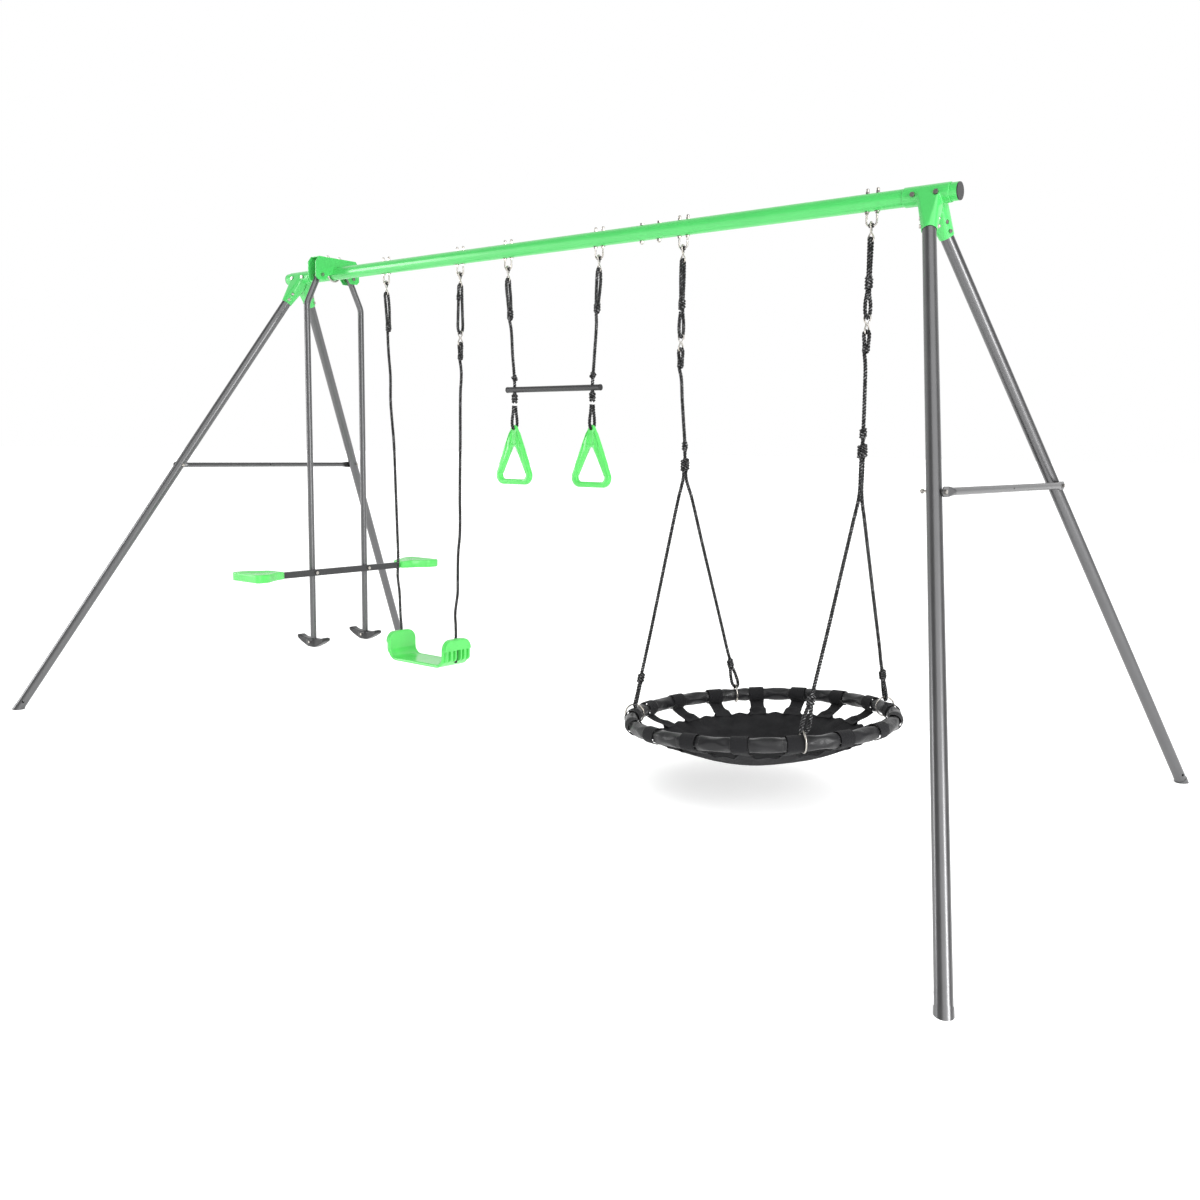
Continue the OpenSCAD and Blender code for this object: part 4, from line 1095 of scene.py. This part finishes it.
    def build(self) -> None:
        """Makes every rope, knot and hook."""
        quarter = math.pi / 2
        z = self.bushes_z
        left, right = self.belt_hangers
        self.rope("belt_left_rope", "belt_left", left, Body.BELT, "belt_rope_left", "object")
        self.rope("belt_adjuster_loop", "belt_adjuster", right, Body.BELT, "belt_adjuster")
        self.rope("belt_right_rope", "belt_right", right, Body.BELT, "belt_rope_right", "object")
        coil, over, pair = KnotKind.COIL, KnotKind.OVERHAND, KnotKind.PAIR
        self.knots(
            "belt_coil_knots",
            Body.BELT,
            "belt_knots",
            [
                Knot(coil, left, (10, 0, -172), 13, 40),
                Knot(coil, right, (0, -9, -83), 9.5, 34),
                Knot(coil, right, (0, 0, -305), 12, 26),
            ],
        )
        self.hooks(
            "belt_wire_hooks",
            Body.BELT,
            "belt_hooks",
            [(left, z, 0.010, 0.0), (right, z, 0.010, 0.0), (right, z - 0.217, 0.009, quarter)],
        )
        for side, hanger, hole in zip(("left", "right"), self.trapeze_hangers, self.bar_ropes):
            self.rope(f"trapeze_{side}_rope", f"trapeze_{side}", hanger, Body.TRAPEZE, f"trapeze_rope_{side}")
            body = Body.RING_LEFT if side == "left" else Body.RING_RIGHT
            self.rope(f"ring_{side}_rope", "ring", hole, body, f"ring_rope_{side}", "object", "taut")
        holes = self.bar_ropes
        self.knots(
            "trapeze_tied_knots",
            Body.TRAPEZE,
            "trapeze_knots",
            [
                Knot(coil, self.trapeze_hangers[0], (11, 0, -164), 13, 44),
                Knot(coil, self.trapeze_hangers[1], (-6, 0, -164), 13, 44),
                Knot(over, holes[0], (-1, 0, -392), 10, 20, (0.5, 0.1, -0.86)),
                Knot(over, holes[1], (1, 0, -392), 10, 20, (-0.55, 0.1, -0.83)),
                Knot(pair, holes[0], (0, 0, -464), 13, 44),
                Knot(pair, holes[1], (0, 0, -464), 13, 44),
            ],
        )
        self.hooks(
            "trapeze_wire_hooks",
            Body.TRAPEZE,
            "trapeze_hooks",
            [(x, z, 0.010, 0.0) for x in self.trapeze_hangers],
        )
        self.nest_rigging(z, quarter)

    def nest_rigging(self, z: float, quarter: float) -> None:
        """Makes the nest's ropes, knots and hooks.

        Args:
            z: The height of the bushes.
            quarter: A quarter turn.
        """
        left, right = self.nest_hangers
        for side, hanger in (("left", left), ("right", right)):
            self.rope(f"nest_adjuster_{side}", f"nest_adjuster_{side}", hanger, Body.NEST, "nest_adjusters")
            node = f"nest_ropes_{side}"
            self.rope(f"nest_main_{side}", f"nest_main_{side}", hanger, Body.NEST, node)
            for end in ("front", "rear"):
                route = f"nest_{end}_{side}"
                self.rope(f"{route}_rope", route, hanger, Body.NEST, node, "knot", "taut")
        coil = KnotKind.COIL
        self.knots(
            "nest_coil_knots",
            Body.NEST,
            "nest_knots",
            [
                Knot(coil, left, (0, 0, -177), 13, 46),
                Knot(coil, left, (0, 0, -370), 12, 26),
                Knot(coil, left, (25, 0, -633), 11, 38),
                Knot(coil, left, (27, 0, -694), 16, 52),
                Knot(coil, left, (-30, -144, -1394), 13, 42, (-0.065, -0.157, -0.769)),
                Knot(coil, left, (57, 270, -1392), 13, 42, (0.034, 0.299, -0.762)),
                Knot(coil, right, (0, 0, -160), 13, 50),
                Knot(coil, right, (0, 0, -348), 12, 26),
                Knot(coil, right, (3, 0, -590), 12, 40),
                Knot(coil, right, (3, 0, -642), 16, 52),
                Knot(coil, right, (-3, -248, -1351), 13, 42, (-0.006, -0.279, -0.671)),
                Knot(coil, right, (-20, 266, -1353), 13, 42, (-0.027, 0.299, -0.672)),
            ],
        )
        self.hooks(
            "nest_wire_hooks",
            Body.NEST,
            "nest_hooks",
            [
                (left, z, 0.010, 0.0),
                (right, z, 0.010, 0.0),
                (left, z - 0.282, 0.009, quarter),
                (right, z - 0.260, 0.009, quarter),
            ],
        )


# ---- Moulded pieces ----


def rounded_box_section(half_a: float, half_b: float, count: int, power: float = 4.0) -> np.ndarray:
    """A ring of points round a rounded rectangle.

    Args:
        half_a: Half its size along the first axis.
        half_b: Half its size along the second axis.
        count: The number of points.
        power: How square it is.

    Returns:
        The points' two offsets.
    """
    angles = np.linspace(0, TAU, count, endpoint=False) + TAU / count / 2
    c, s = np.cos(angles), np.sin(angles)
    first = half_a * np.sign(c) * np.abs(c) ** (2 / power)
    second = half_b * np.sign(s) * np.abs(s) ** (2 / power)
    return np.stack([first, second], axis=1)


@dataclass
class BeltSeat:
    """The moulded belt seat: a U with capped, ribbed uprights and a slot for each rope."""

    palette: Palette
    middle_x: float = -0.630
    foot_z: float = 0.224
    height: float = 0.114
    half_width: float = 0.163
    rope_half: float = 0.160
    depth: float = 0.145
    shell: float = 0.012
    outer_bend: float = 0.047
    cap_band: float = 0.046
    rib_reach: float = 0.014
    rib_pitch: float = 0.0245
    corner: float = 0.042

    def middle_line(self) -> tuple[np.ndarray, np.ndarray, np.ndarray]:
        """The outer face's line from the left top to the right top.

        Returns:
            Its points across and up, its outward directions, and its distances below the nearer top.
        """
        bend, half, top = self.outer_bend, self.half_width, self.height
        lines, outs = [], []
        for z in np.linspace(top, bend, 46)[:-1]:
            lines.append((-half, z))
            outs.append((-1.0, 0.0))
        for a in np.linspace(math.pi, 1.5 * math.pi, 16)[:-1]:
            lines.append((-half + bend + bend * math.cos(a), bend + bend * math.sin(a)))
            outs.append((math.cos(a), math.sin(a)))
        for x in np.linspace(-half + bend, 0, 18):
            lines.append((x, 0.0))
            outs.append((0.0, -1.0))
        line, out = np.array(lines), np.array(outs)
        line = np.vstack([line, line[-2::-1] * (-1, 1)])
        out = np.vstack([out, out[-2::-1] * (-1, 1)])
        return line, out, top - line[:, 1]

    def build(self) -> None:
        """Makes the seat."""
        line, out, below_top = self.middle_line()
        v = np.linspace(-1, 1, 97)
        rows_out, rows_in = [], []
        for (x, z), (ox, oz), drop in zip(line, out, below_top):
            half = self.depth / 2
            if drop < self.corner:
                half -= self.corner - math.sqrt(self.corner**2 - (self.corner - drop) ** 2)
            y = v * max(half, 0.006)
            edge = np.clip((half - np.abs(y)) / 0.006, 0, 1)
            lip = np.sqrt(1 - (1 - edge) ** 2)
            top_edge = min(1.0, (drop + 0.0006) / 0.006)
            lip = lip * math.sqrt(1 - (1 - top_edge) ** 2)
            upright = float(np.clip((z - 0.020) / 0.014, 0, 1)) * float(abs(x) > self.half_width - 0.02)
            cap = 1 / (1 + math.exp((drop - self.cap_band) / 0.0009))
            ribs = np.clip(2.6 * np.cos(TAU * (y / self.rib_pitch + 0.5)) + 1.3, 0, 1) * (np.abs(y) > 0.0095)
            ribs = ribs * (np.abs(y) < 0.062)
            slot = np.clip((0.0100 - np.abs(y)) / 0.0015, 0, 1) * (1 - cap) * (drop > self.cap_band - 0.004)
            reach = upright * (self.rib_reach * (cap + (1 - cap) * ribs) - slot * 0.009)
            dish = 0.0025 * (1 - v**2) * (abs(x) < 0.12)
            outer = lip * (self.shell / 2 + reach)
            bead = 0.0012 * np.exp(-(((half - np.abs(y)) - 0.006) / 0.004) ** 2)
            inner = lip * (self.shell / 2 - dish * 0.6) + bead
            mid_x, mid_z = x - ox * self.shell / 2, z - oz * self.shell / 2
            base = np.stack([np.full_like(y, mid_x), y, np.full_like(y, mid_z)], axis=1)
            push = np.array([ox, 0.0, oz])
            rows_out.append(base + outer[:, None] * push)
            rows_in.append(base - inner[:, None] * push)
        lift = np.array([self.middle_x, 0, self.foot_z])
        skin = Skin()
        skin.slab(np.array(rows_out) + lift, np.array(rows_in) + lift)
        for side in (-1, 1):
            x = self.middle_x + side * self.rope_half
            angles = np.linspace(0, TAU, 24, endpoint=False)
            collar = [(0.0095, -0.004), (0.0088, 0.0), (0.0075, 0.0012), (0.0060, 0.0008), (0.0053, -0.004)]
            rows = [
                [(x + r * math.cos(a), r * math.sin(a), self.foot_z + self.height + h) for a in angles]
                for r, h in collar
            ]
            skin.wrap(np.array(rows), closed=True)
        dress(skin.make("belt_seat_moulding", 50.0), self.palette, Slot.GREEN, Body.BELT, "belt_seat")


@dataclass
class GliderSeats:
    """The two moulded seats at the ends of the glider's cross bar."""

    palette: Palette
    middle_x: float = -1.1685
    bar_z: float = 0.557
    top: float = 0.022
    under: float = -0.012
    dish: float = 0.006
    plan: tuple[tuple[float, float], ...] = (
        (0.3150, 0.022), (0.3165, 0.028), (0.322, 0.033), (0.335, 0.038), (0.360, 0.047), (0.385, 0.060),
        (0.405, 0.073), (0.418, 0.083), (0.428, 0.089), (0.440, 0.0925), (0.463, 0.0925), (0.475, 0.0895),
        (0.4815, 0.085), (0.4845, 0.079), (0.4855, 0.070),
    )

    def build(self) -> None:
        """Makes both seats."""
        for name, side, node in (
            ("glider_seat_near", -1, "glider_seat_front"),
            ("glider_seat_far", 1, "glider_seat_rear"),
        ):
            y_known = np.array([p[0] for p in self.plan])
            w_known = np.array([p[1] for p in self.plan])
            ends = 1 - np.cos(np.linspace(0, math.pi, 44))
            ys = y_known[0] + (y_known[-1] - y_known[0]) * ends / 2
            v = np.sin(np.linspace(-math.pi / 2, math.pi / 2, 41))
            tops, unders = [], []
            for y in ys:
                w = float(np.interp(y, y_known, w_known))
                from_edge = np.minimum(w * (1 - np.abs(v)), np.minimum(y - ys[0], ys[-1] - y))
                lip = np.sqrt(1 - (1 - np.clip(from_edge / 0.005, 0, 1)) ** 2)
                bowl = np.clip((from_edge - 0.008) / 0.022, 0, 1)
                grip = 0.0007 * np.sin(TAU * y / 0.011) * (bowl > 0.98) * (y > 0.38)
                z_top = self.top - 0.006 * (1 - lip) - self.dish * bowl * bowl * (3 - 2 * bowl) + grip
                z_top = z_top - 0.004 * np.clip((0.35 - y) / 0.035, 0, 1)
                hollow = 0.008 * np.clip((from_edge - 0.004) / 0.003, 0, 1) * (w * np.abs(v) > 0.014)
                z_under = self.under + 0.004 * (1 - lip) + hollow
                x = self.middle_x + w * v
                tops.append(np.stack([x, np.full_like(x, side * y), self.bar_z + z_top], axis=1))
                unders.append(np.stack([x, np.full_like(x, side * y), self.bar_z + z_under], axis=1))
            skin = Skin()
            skin.slab(np.array(tops), np.array(unders))
            dress(skin.make(name, 45.0), self.palette, Slot.GREEN, Body.GLIDER_BAR, node)


@dataclass
class FootPegs:
    """The boat-shaped foot pegs at the feet of the glider's hangers."""

    palette: Palette
    middle_x: float = -1.190
    hanger_y: float = 0.140
    foot_z: float = 0.238
    half_length: float = 0.091
    outline_top: tuple[tuple[float, float], ...] = (
        (0.0, 0.037), (0.036, 0.038), (0.058, 0.0400), (0.070, 0.0440), (0.079, 0.0470), (0.091, 0.0467),
    )
    outline_under: tuple[tuple[float, float], ...] = (
        (0.0, 0.0), (0.020, 0.0), (0.028, 0.0018), (0.038, 0.006), (0.064, 0.0175), (0.083, 0.0285),
        (0.091, 0.0335),
    )

    def build(self) -> None:
        """Makes both pegs."""
        for name, side, body, node in (
            ("foot_peg_near", -1, Body.GLIDER_FRONT, "glider_peg_front"),
            ("foot_peg_far", 1, Body.GLIDER_REAR, "glider_peg_rear"),
        ):
            rings = []
            for x in self.half_length * np.sin(np.linspace(-math.pi / 2, math.pi / 2, 61)):
                reach = abs(x)
                top = float(np.interp(reach, *zip(*self.outline_top)))
                under = float(np.interp(reach, *zip(*self.outline_under)))
                tip = math.sqrt(max(0.0, 1 - max(0.0, (reach - self.half_length + 0.010) / 0.0101) ** 2))
                waist = 0.0045 * math.exp(-((x / 0.022) ** 4))
                half_y = (0.0165 + waist + 0.002 * reach / self.half_length) * (0.75 + 0.25 * tip)
                half_z = (top - under) / 2 * (0.55 + 0.45 * tip)
                ring = rounded_box_section(half_y, half_z, 28, 5.0)
                middle = (top + under) / 2
                groove = 0.0022 * np.exp(-(((ring[:, 1] - 0.25 * half_z) / 0.0045) ** 2))
                groove = groove * (0.026 < reach < 0.076)
                ys = ring[:, 0] - np.sign(ring[:, 0]) * groove
                xs = np.full(len(ring), self.middle_x + x)
                zs = self.foot_z + middle + ring[:, 1]
                rings.append(np.stack([xs, side * self.hanger_y + ys, zs], axis=1))
            skin = Skin()
            skin.wrap(np.array(rings))
            dress(skin.make(name, 38.0), self.palette, Slot.BLACK, body, node)


@dataclass
class HandRings:
    """The two hand rings: rounded triangles with a recessed gusset and an eye at the top."""

    palette: Palette
    places: tuple[float, float] = (-0.157, 0.211)
    top_z: float = 1.174
    width: float = 0.172
    height: float = 0.218
    thick: float = 0.020
    corner: float = 0.034
    tip: float = 0.014
    wall: float = 0.024
    grip: float = 0.020
    gusset: float = 0.077
    inner_corner: float = 0.016
    eye: float = 0.006
    ways: int = 84

    def hull_points(self, circles: Sequence[tuple[float, float, float]], count: int) -> np.ndarray:
        """The outline round a set of circles, one point for each outward direction.

        Args:
            circles: Each circle's middle and radius.
            count: The number of directions.

        Returns:
            The outline's points.
        """
        points = []
        for a in np.linspace(0, TAU, count, endpoint=False):
            n = (math.cos(a), math.sin(a))
            x, z, r = max(circles, key=lambda c: c[0] * n[0] + c[1] * n[1] + c[2])
            points.append((x + r * n[0], z + r * n[1]))
        return np.array(points)

    def evened(self, points: np.ndarray, other: np.ndarray, step: float) -> tuple[np.ndarray, np.ndarray]:
        """Splits the long stretches of two outlines that run side by side.

        Args:
            points: The outer outline.
            other: The inner outline.
            step: The longest stretch to leave.

        Returns:
            Both outlines with the same number of points.
        """
        outer, inner = [], []
        for i in range(len(points)):
            a, b = points[i], points[(i + 1) % len(points)]
            c, d = other[i], other[(i + 1) % len(points)]
            parts = max(1, math.ceil(max(np.linalg.norm(b - a), np.linalg.norm(d - c)) / step))
            for k in range(parts):
                outer.append(a + (b - a) * k / parts)
                inner.append(c + (d - c) * k / parts)
        return np.array(outer), np.array(inner)

    def build(self) -> None:
        """Makes both rings."""
        low, half = -self.height, self.width / 2
        feet = [(s * (half - self.corner), self.corner + low, self.corner) for s in (-1, 1)]
        outer = self.hull_points([(0, -self.tip, self.tip)] + feet, self.ways)
        r = self.inner_corner
        feet = [(s * (half - self.wall - r), self.grip + r + low, r) for s in (-1, 1)]
        inner = self.hull_points([(0, -self.gusset - r, r)] + feet, self.ways)
        outer, inner = self.evened(outer, inner, 0.006)
        for name, x, body, node in (
            ("hand_ring_left_moulding", self.places[0], Body.RING_LEFT, "ring_left"),
            ("hand_ring_right_moulding", self.places[1], Body.RING_RIGHT, "ring_right"),
        ):
            rows = []
            for po, pi in zip(outer, inner):
                reach = np.linalg.norm(pi - po) / 2
                ring = rounded_box_section(reach, 1.0, 40, 7.0 if reach > 0.018 else 3.2)
                across = ring[:, 0]
                flat = (po + pi) / 2 + np.outer(across / reach, (pi - po) / 2)
                z = flat[:, 1]
                thin = np.clip((z + 0.030) / 0.008, 0, 1)
                half_t = self.thick / 2 - 0.004 * thin * thin * (3 - 2 * thin)
                inset = np.clip((reach - 0.0185) / 0.004, 0, 1) * (np.abs(across) < reach - 0.009)
                panel = inset * np.clip((-0.032 - z) / 0.002, 0, 1) * np.clip((z + 0.070) / 0.002, 0, 1)
                y = ring[:, 1] * (half_t - 0.003 * panel)
                rows.append(np.stack([x + flat[:, 0], y, self.top_z + z], axis=1))
            skin = Skin()
            skin.wrap(np.array(rows), closed=True)
            piece = skin.make(name, 50.0)
            self.drill(piece, x)
            dress(piece, self.palette, Slot.GREEN, body, node)

    def drill(self, piece: bpy.types.Object, x: float) -> None:
        """Cuts the eye through a ring.

        Args:
            piece: The ring.
            x: Its place along the beam.
        """
        cutter = Skin()
        angles = np.linspace(0, TAU, 32, endpoint=False)
        rows = [
            [(x + self.eye * math.cos(a), y, self.top_z - 0.013 + self.eye * math.sin(a)) for a in angles]
            for y in (-0.03, 0.03)
        ]
        cutter.wrap(np.array(rows))
        drill = cutter.make("eye_drill")
        cut = piece.modifiers.new("eye", "BOOLEAN")
        cut.object, cut.operation, cut.solver = drill, "DIFFERENCE", "EXACT"
        apply_modifiers(piece)
        bpy.data.objects.remove(drill)


def apply_modifiers(piece: bpy.types.Object) -> None:
    """Makes a piece's modifiers part of its mesh."""
    graph = bpy.context.evaluated_depsgraph_get()
    graph.update()
    mesh = bpy.data.meshes.new_from_object(piece.evaluated_get(graph), depsgraph=graph)
    piece.modifiers.clear()
    old = piece.data
    piece.data = mesh
    bpy.data.meshes.remove(old)


@dataclass
class BracketShells:
    """The four pressed bracket shells, with their pressed edges and corners rounded."""

    palette: Palette
    voxel: float = 0.0012
    rounds: int = 26

    def build(self) -> None:
        """Makes the four shells."""
        for side in ("left", "right"):
            for end in ("front", "rear"):
                node = f"bracket_{side}_{end}"
                source = frame["nodes"][node]
                mesh = source.data.copy()
                mesh.transform(source.matrix_world)
                piece = bpy.data.objects.new(f"pressed_shell_{side}_{end}", mesh)
                bpy.context.scene.collection.objects.link(piece)
                even = piece.modifiers.new("even", "REMESH")
                even.mode, even.voxel_size = "VOXEL", self.voxel
                soft = piece.modifiers.new("soft", "SMOOTH")
                soft.factor, soft.iterations = 0.5, self.rounds
                apply_modifiers(piece)
                piece.data.polygons.foreach_set("use_smooth", [True] * len(piece.data.polygons))
                dress(piece, self.palette, Slot.BEAM, Body.FRAME, node)


# ---- Nest ----


@dataclass
class Nest:
    """The nest: padded rim sleeves, webbing straps and the sagging woven mat."""

    palette: Palette
    middle: Point = (0.925, 0.0, 0.246)
    tilt: float = 4.0
    ring_r: float = 0.4175
    pad_r: float = 0.023
    straps: int = 17
    first_strap: float = -4.0
    strap_w: float = 0.050
    strap_t: float = 0.0016
    mat_r: float = 0.345
    mat_edge: float = -0.046
    sag: float = 0.140
    mat_t: float = 0.0018
    swell_cap: float = 0.0016
    cloth_steps: int = 20

    def to_world(self, local: np.ndarray) -> np.ndarray:
        """Points in the rim's own frame placed in the world."""
        turn = np.array(Matrix.Rotation(-math.radians(self.tilt), 3, "Y"))
        return local @ turn.T + np.array(self.middle)

    def round_rim(self, angle: np.ndarray, radius: np.ndarray, height: np.ndarray) -> np.ndarray:
        """Points from an angle round the rim, a radius and a height."""
        return self.to_world(np.stack([radius * np.cos(angle), radius * np.sin(angle), height], axis=-1))

    def strap_angle(self, k: int) -> float:
        """The angle of one strap's middle, in radians."""
        return math.radians(self.first_strap + k * 360 / self.straps)

    def build(self) -> None:
        """Makes the sleeves, the straps and the mat."""
        pads = self.sleeves()
        webbing = self.webbing()
        mat = self.mat()

    def sleeve_form(self) -> tuple[np.ndarray, list[tuple[int, ...]]]:
        """One straight padded sleeve, swollen by its foam.

        Returns:
            Its points, with X along it, and its faces.
        """
        length = self.ring_r * (TAU / self.straps) - self.strap_w + 0.010
        start_r = self.pad_r - 0.0012
        skin = Skin()
        xs = length * np.linspace(-0.5, 0.5, 27)
        angles = np.linspace(0, TAU, 40, endpoint=False)
        rows = []
        for x in xs:
            near_end = np.clip((length / 2 - abs(x)) / 0.006, 0.0, 1.0)
            r = start_r - 0.0022 * (1 - near_end) ** 2
            rows.append([(x, r * math.cos(a), r * math.sin(a)) for a in angles])
        skin.wrap(np.array(rows))
        form = skin.make("sleeve_form", 60.0)
        self.inflate(form, length)
        points = np.array([v.co for v in form.data.vertices], float)
        faces = [tuple(p.vertices) for p in form.data.polygons]
        bpy.data.objects.remove(form)
        return points, faces

    def inflate(self, form: bpy.types.Object, length: float) -> None:
        """Swells a sleeve with a cloth simulation and keeps the result within a small cap.

        Args:
            form: The sleeve.
            length: Its length.
        """
        remesh = form.modifiers.new("even", "REMESH")
        remesh.mode, remesh.voxel_size = "VOXEL", 0.0045
        apply_modifiers(form)
        rest = np.array([v.co for v in form.data.vertices], float)
        held = form.vertex_groups.new(name="held")
        for i, p in enumerate(rest):
            if abs(p[0]) > length / 2 - 0.004:
                held.add([i], 1.0, "REPLACE")
        cloth = form.modifiers.new("foam", "CLOTH")
        settings = cloth.settings
        settings.vertex_group_mass = "held"
        settings.use_pressure, settings.uniform_pressure_force = True, 4.0
        settings.effector_weights.gravity = 0.0
        settings.quality = 6
        settings.tension_stiffness = settings.compression_stiffness = 12.0
        settings.bending_stiffness = 6.0
        settings.shrink_min = -0.02
        scene = bpy.context.scene
        cloth.point_cache.frame_start, cloth.point_cache.frame_end = 1, self.cloth_steps
        for step in range(1, self.cloth_steps + 1):
            scene.frame_set(step)
        apply_modifiers(form)
        scene.frame_set(1)
        moved = np.array([v.co for v in form.data.vertices], float)
        shift = moved - rest
        far = np.linalg.norm(shift, axis=1)
        shift *= np.minimum(1.0, self.swell_cap / np.maximum(far, 1e-9))[:, None]
        form.data.vertices.foreach_set("co", (rest + shift).reshape(-1))
        calm = form.modifiers.new("calm", "SMOOTH")
        calm.factor, calm.iterations = 0.5, 5
        refine = form.modifiers.new("refine", "SUBSURF")
        refine.levels = 1
        apply_modifiers(form)

    def sleeves(self) -> bpy.types.Object:
        """All padded sleeves round the rim, as one piece."""
        points, faces = self.sleeve_form()
        length = points[:, 0].max() - points[:, 0].min()
        all_points, all_faces, places = [], [], []
        for k in range(self.straps):
            middle = self.strap_angle(k) + math.pi / self.straps
            roll, flip = 0.9 * k, -1 if k % 2 else 1
            y = points[:, 1] * math.cos(roll) - points[:, 2] * math.sin(roll)
            z = points[:, 1] * math.sin(roll) + points[:, 2] * math.cos(roll)
            swell = 1 + 0.012 * math.sin(2.3 * k)
            angle = middle + flip * points[:, 0] / self.ring_r
            placed = self.round_rim(angle, self.ring_r + y * swell, z * swell)
            start = k * len(points)
            all_points.append(placed)
            around = np.arctan2(z, y) * self.pad_r
            for f in faces:
                order = f if flip > 0 else f[::-1]
                all_faces.append(tuple(start + i for i in order))
                arcs = [around[i] for i in order]
                if max(arcs) - min(arcs) > math.pi * self.pad_r:
                    arcs = [a + TAU * self.pad_r if a < 0 else a for a in arcs]
                places += [(points[i, 0] + length / 2, a) for i, a in zip(order, arcs)]
        skin = Skin()
        skin.points, skin.faces, skin.places = all_points, all_faces, places
        return dress(skin.make("nest_padded_sleeves", 55.0), self.palette, Slot.VINYL, Body.NEST, "nest_pads")

    def strap_path(self) -> tuple[np.ndarray, np.ndarray]:
        """One strap's line in the plane of its radius, from its outer end round the rim and down to the mat.

        Returns:
            The line's radius and height, and its half width at each point.
        """
        wrap_r = self.pad_r + 0.0009
        points, widths = [], []
        tail_end = np.array([self.mat_r - 0.022, self.mat_height(self.mat_r - 0.022) + 0.003])
        tail = np.array([self.mat_r + 0.012, self.mat_edge + 0.004])
        leave = math.radians(248)
        for a in np.linspace(leave - math.radians(338), leave, 60):
            grow = 0.0012 * (leave - a) / math.radians(338)
            reach = wrap_r + 0.0012 - grow
            points.append((self.ring_r + reach * math.cos(a), reach * math.sin(a)))
            widths.append(self.strap_w / 2)
        start = np.array(points[-1])
        for t in np.linspace(0, 1, 14)[1:]:
            points.append(tuple(start + (tail - start) * t + np.array([0, -0.004 * math.sin(math.pi * t)])))
            widths.append(self.strap_w / 2 - 0.002 * math.sin(math.pi * t) + 0.004 * t**3)
        for t in np.linspace(0, 1, 8)[1:]:
            points.append(tuple(tail + (tail_end - tail) * t))
            widths.append(self.strap_w / 2 + 0.004)
        return np.array(points), np.array(widths)

    def webbing(self) -> bpy.types.Object:
        """All straps, as one piece."""
        line, widths = self.strap_path()
        ways = np.gradient(line, axis=0)
        ways /= np.linalg.norm(ways, axis=1)[:, None]
        outs = np.stack([ways[:, 1], -ways[:, 0]], axis=1)
        run = np.concatenate([[0], np.cumsum(np.linalg.norm(np.diff(line, axis=0), axis=1))])
        section = rounded_box_section(1.0, self.strap_t / 2, 36, 6.0)
        skin = Skin()
        for k in range(self.straps):
            middle = self.strap_angle(k)
            lean = 0.010 * math.sin(1.7 * k)
            rows = []
            for i, (p, w, out) in enumerate(zip(line, widths, outs)):
                radius = p[0] + section[:, 1] * out[0]
                height = p[1] + section[:, 1] * out[1]
                height = height - 0.0012 * np.sin(3.1 * k + 2.2 * section[:, 0]) * min(1.0, i / 60) ** 3
                angle = middle + lean * min(1.0, i / len(line)) + section[:, 0] * w / self.ring_r * (
                    self.ring_r / max(p[0], 0.3)
                )
                rows.append(self.round_rim(angle, radius, height))
            start = len(skin.places)
            skin.wrap(np.array(rows), run, 1.0)
            self.lay_flat(skin, start, section, widths)
        piece = skin.make("nest_webbing_straps", 50.0)
        return dress(piece, self.palette, Slot.WEBBING, Body.NEST, "nest_straps")

    def lay_flat(self, skin: Skin, start: int, section: np.ndarray, widths: np.ndarray) -> None:
        """Rewrites the strip measure of one strap so that it runs from edge to edge.

        Args:
            skin: The gathered straps.
            start: The first corner of this strap.
            section: The strap's section.
            widths: Its half widths.
        """
        m = len(section)
        corner = start
        for i in range(len(widths) - 1):
            for j in range(m):
                a, b = section[j, 0], section[(j + 1) % m, 0]
                for c, (side, row) in enumerate(((a, i), (b, i), (b, i + 1), (a, i + 1))):
                    u, _ = skin.places[corner + c]
                    skin.places[corner + c] = (u, side * widths[row])
                corner += 4

    def mat_height(self, radius: float | np.ndarray) -> float | np.ndarray:
        """The mat's height at a radius, between the straps' pulls."""
        return -self.sag + (self.sag + self.mat_edge) * (radius / self.mat_r) ** 2

    def mat(self) -> bpy.types.Object:
        """The mat, as a thin closed sheet with a scalloped, puckered edge."""
        around, rings = self.straps * 14, 34
        angles = np.linspace(0, TAU, around, endpoint=False)
        pitch = TAU / self.straps
        phase = (angles - self.strap_angle(0) + pitch / 2) % pitch - pitch / 2
        pull = np.exp(-((np.abs(phase) / 0.075) ** 4))
        edge_r = self.mat_r - 0.006 + 0.020 * pull - 0.004 * np.cos(TAU * phase / pitch)
        top, under = [], []
        for i in range(rings + 1):
            share = 0.012 + 0.988 * (i / rings) ** 0.8
            r = edge_r * share
            z = self.mat_height(r)
            z = z - 0.007 * (1 - pull) * share**7 + 0.0022 * np.cos(TAU * 2 * phase / pitch) * share**5
            z = z + 0.0016 * np.sin(3 * angles + 7 * share) * share * (1 - share) * 4
            hem = 0.0010 * math.exp(-(((1 - share) / 0.02) ** 2))
            top.append(self.round_rim(angles, r, z + self.mat_t / 2 + hem))
            under.append(self.round_rim(angles, r, z - self.mat_t / 2 - hem))
        shell = np.concatenate([np.array(top), np.array(under)[::-1]])
        skin = Skin()
        skin.wrap(shell, capped=True)
        return dress(skin.make("nest_woven_mat", 60.0), self.palette, Slot.MAT, Body.NEST, "nest_mat")


def main() -> None:
    """Builds the studio, the ropes, the mouldings and the nest."""
    logging.basicConfig(level=logging.INFO, format="%(name)s: %(message)s")
    Studio().build()
    palette = Palette()
    palette.dress_nodes()
    Rigging(palette).build()
    BeltSeat(palette).build()
    GliderSeats(palette).build()
    FootPegs(palette).build()
    HandRings(palette).build()
    BracketShells(palette).build()
    Nest(palette).build()


if __name__ == "__main__":
    main()
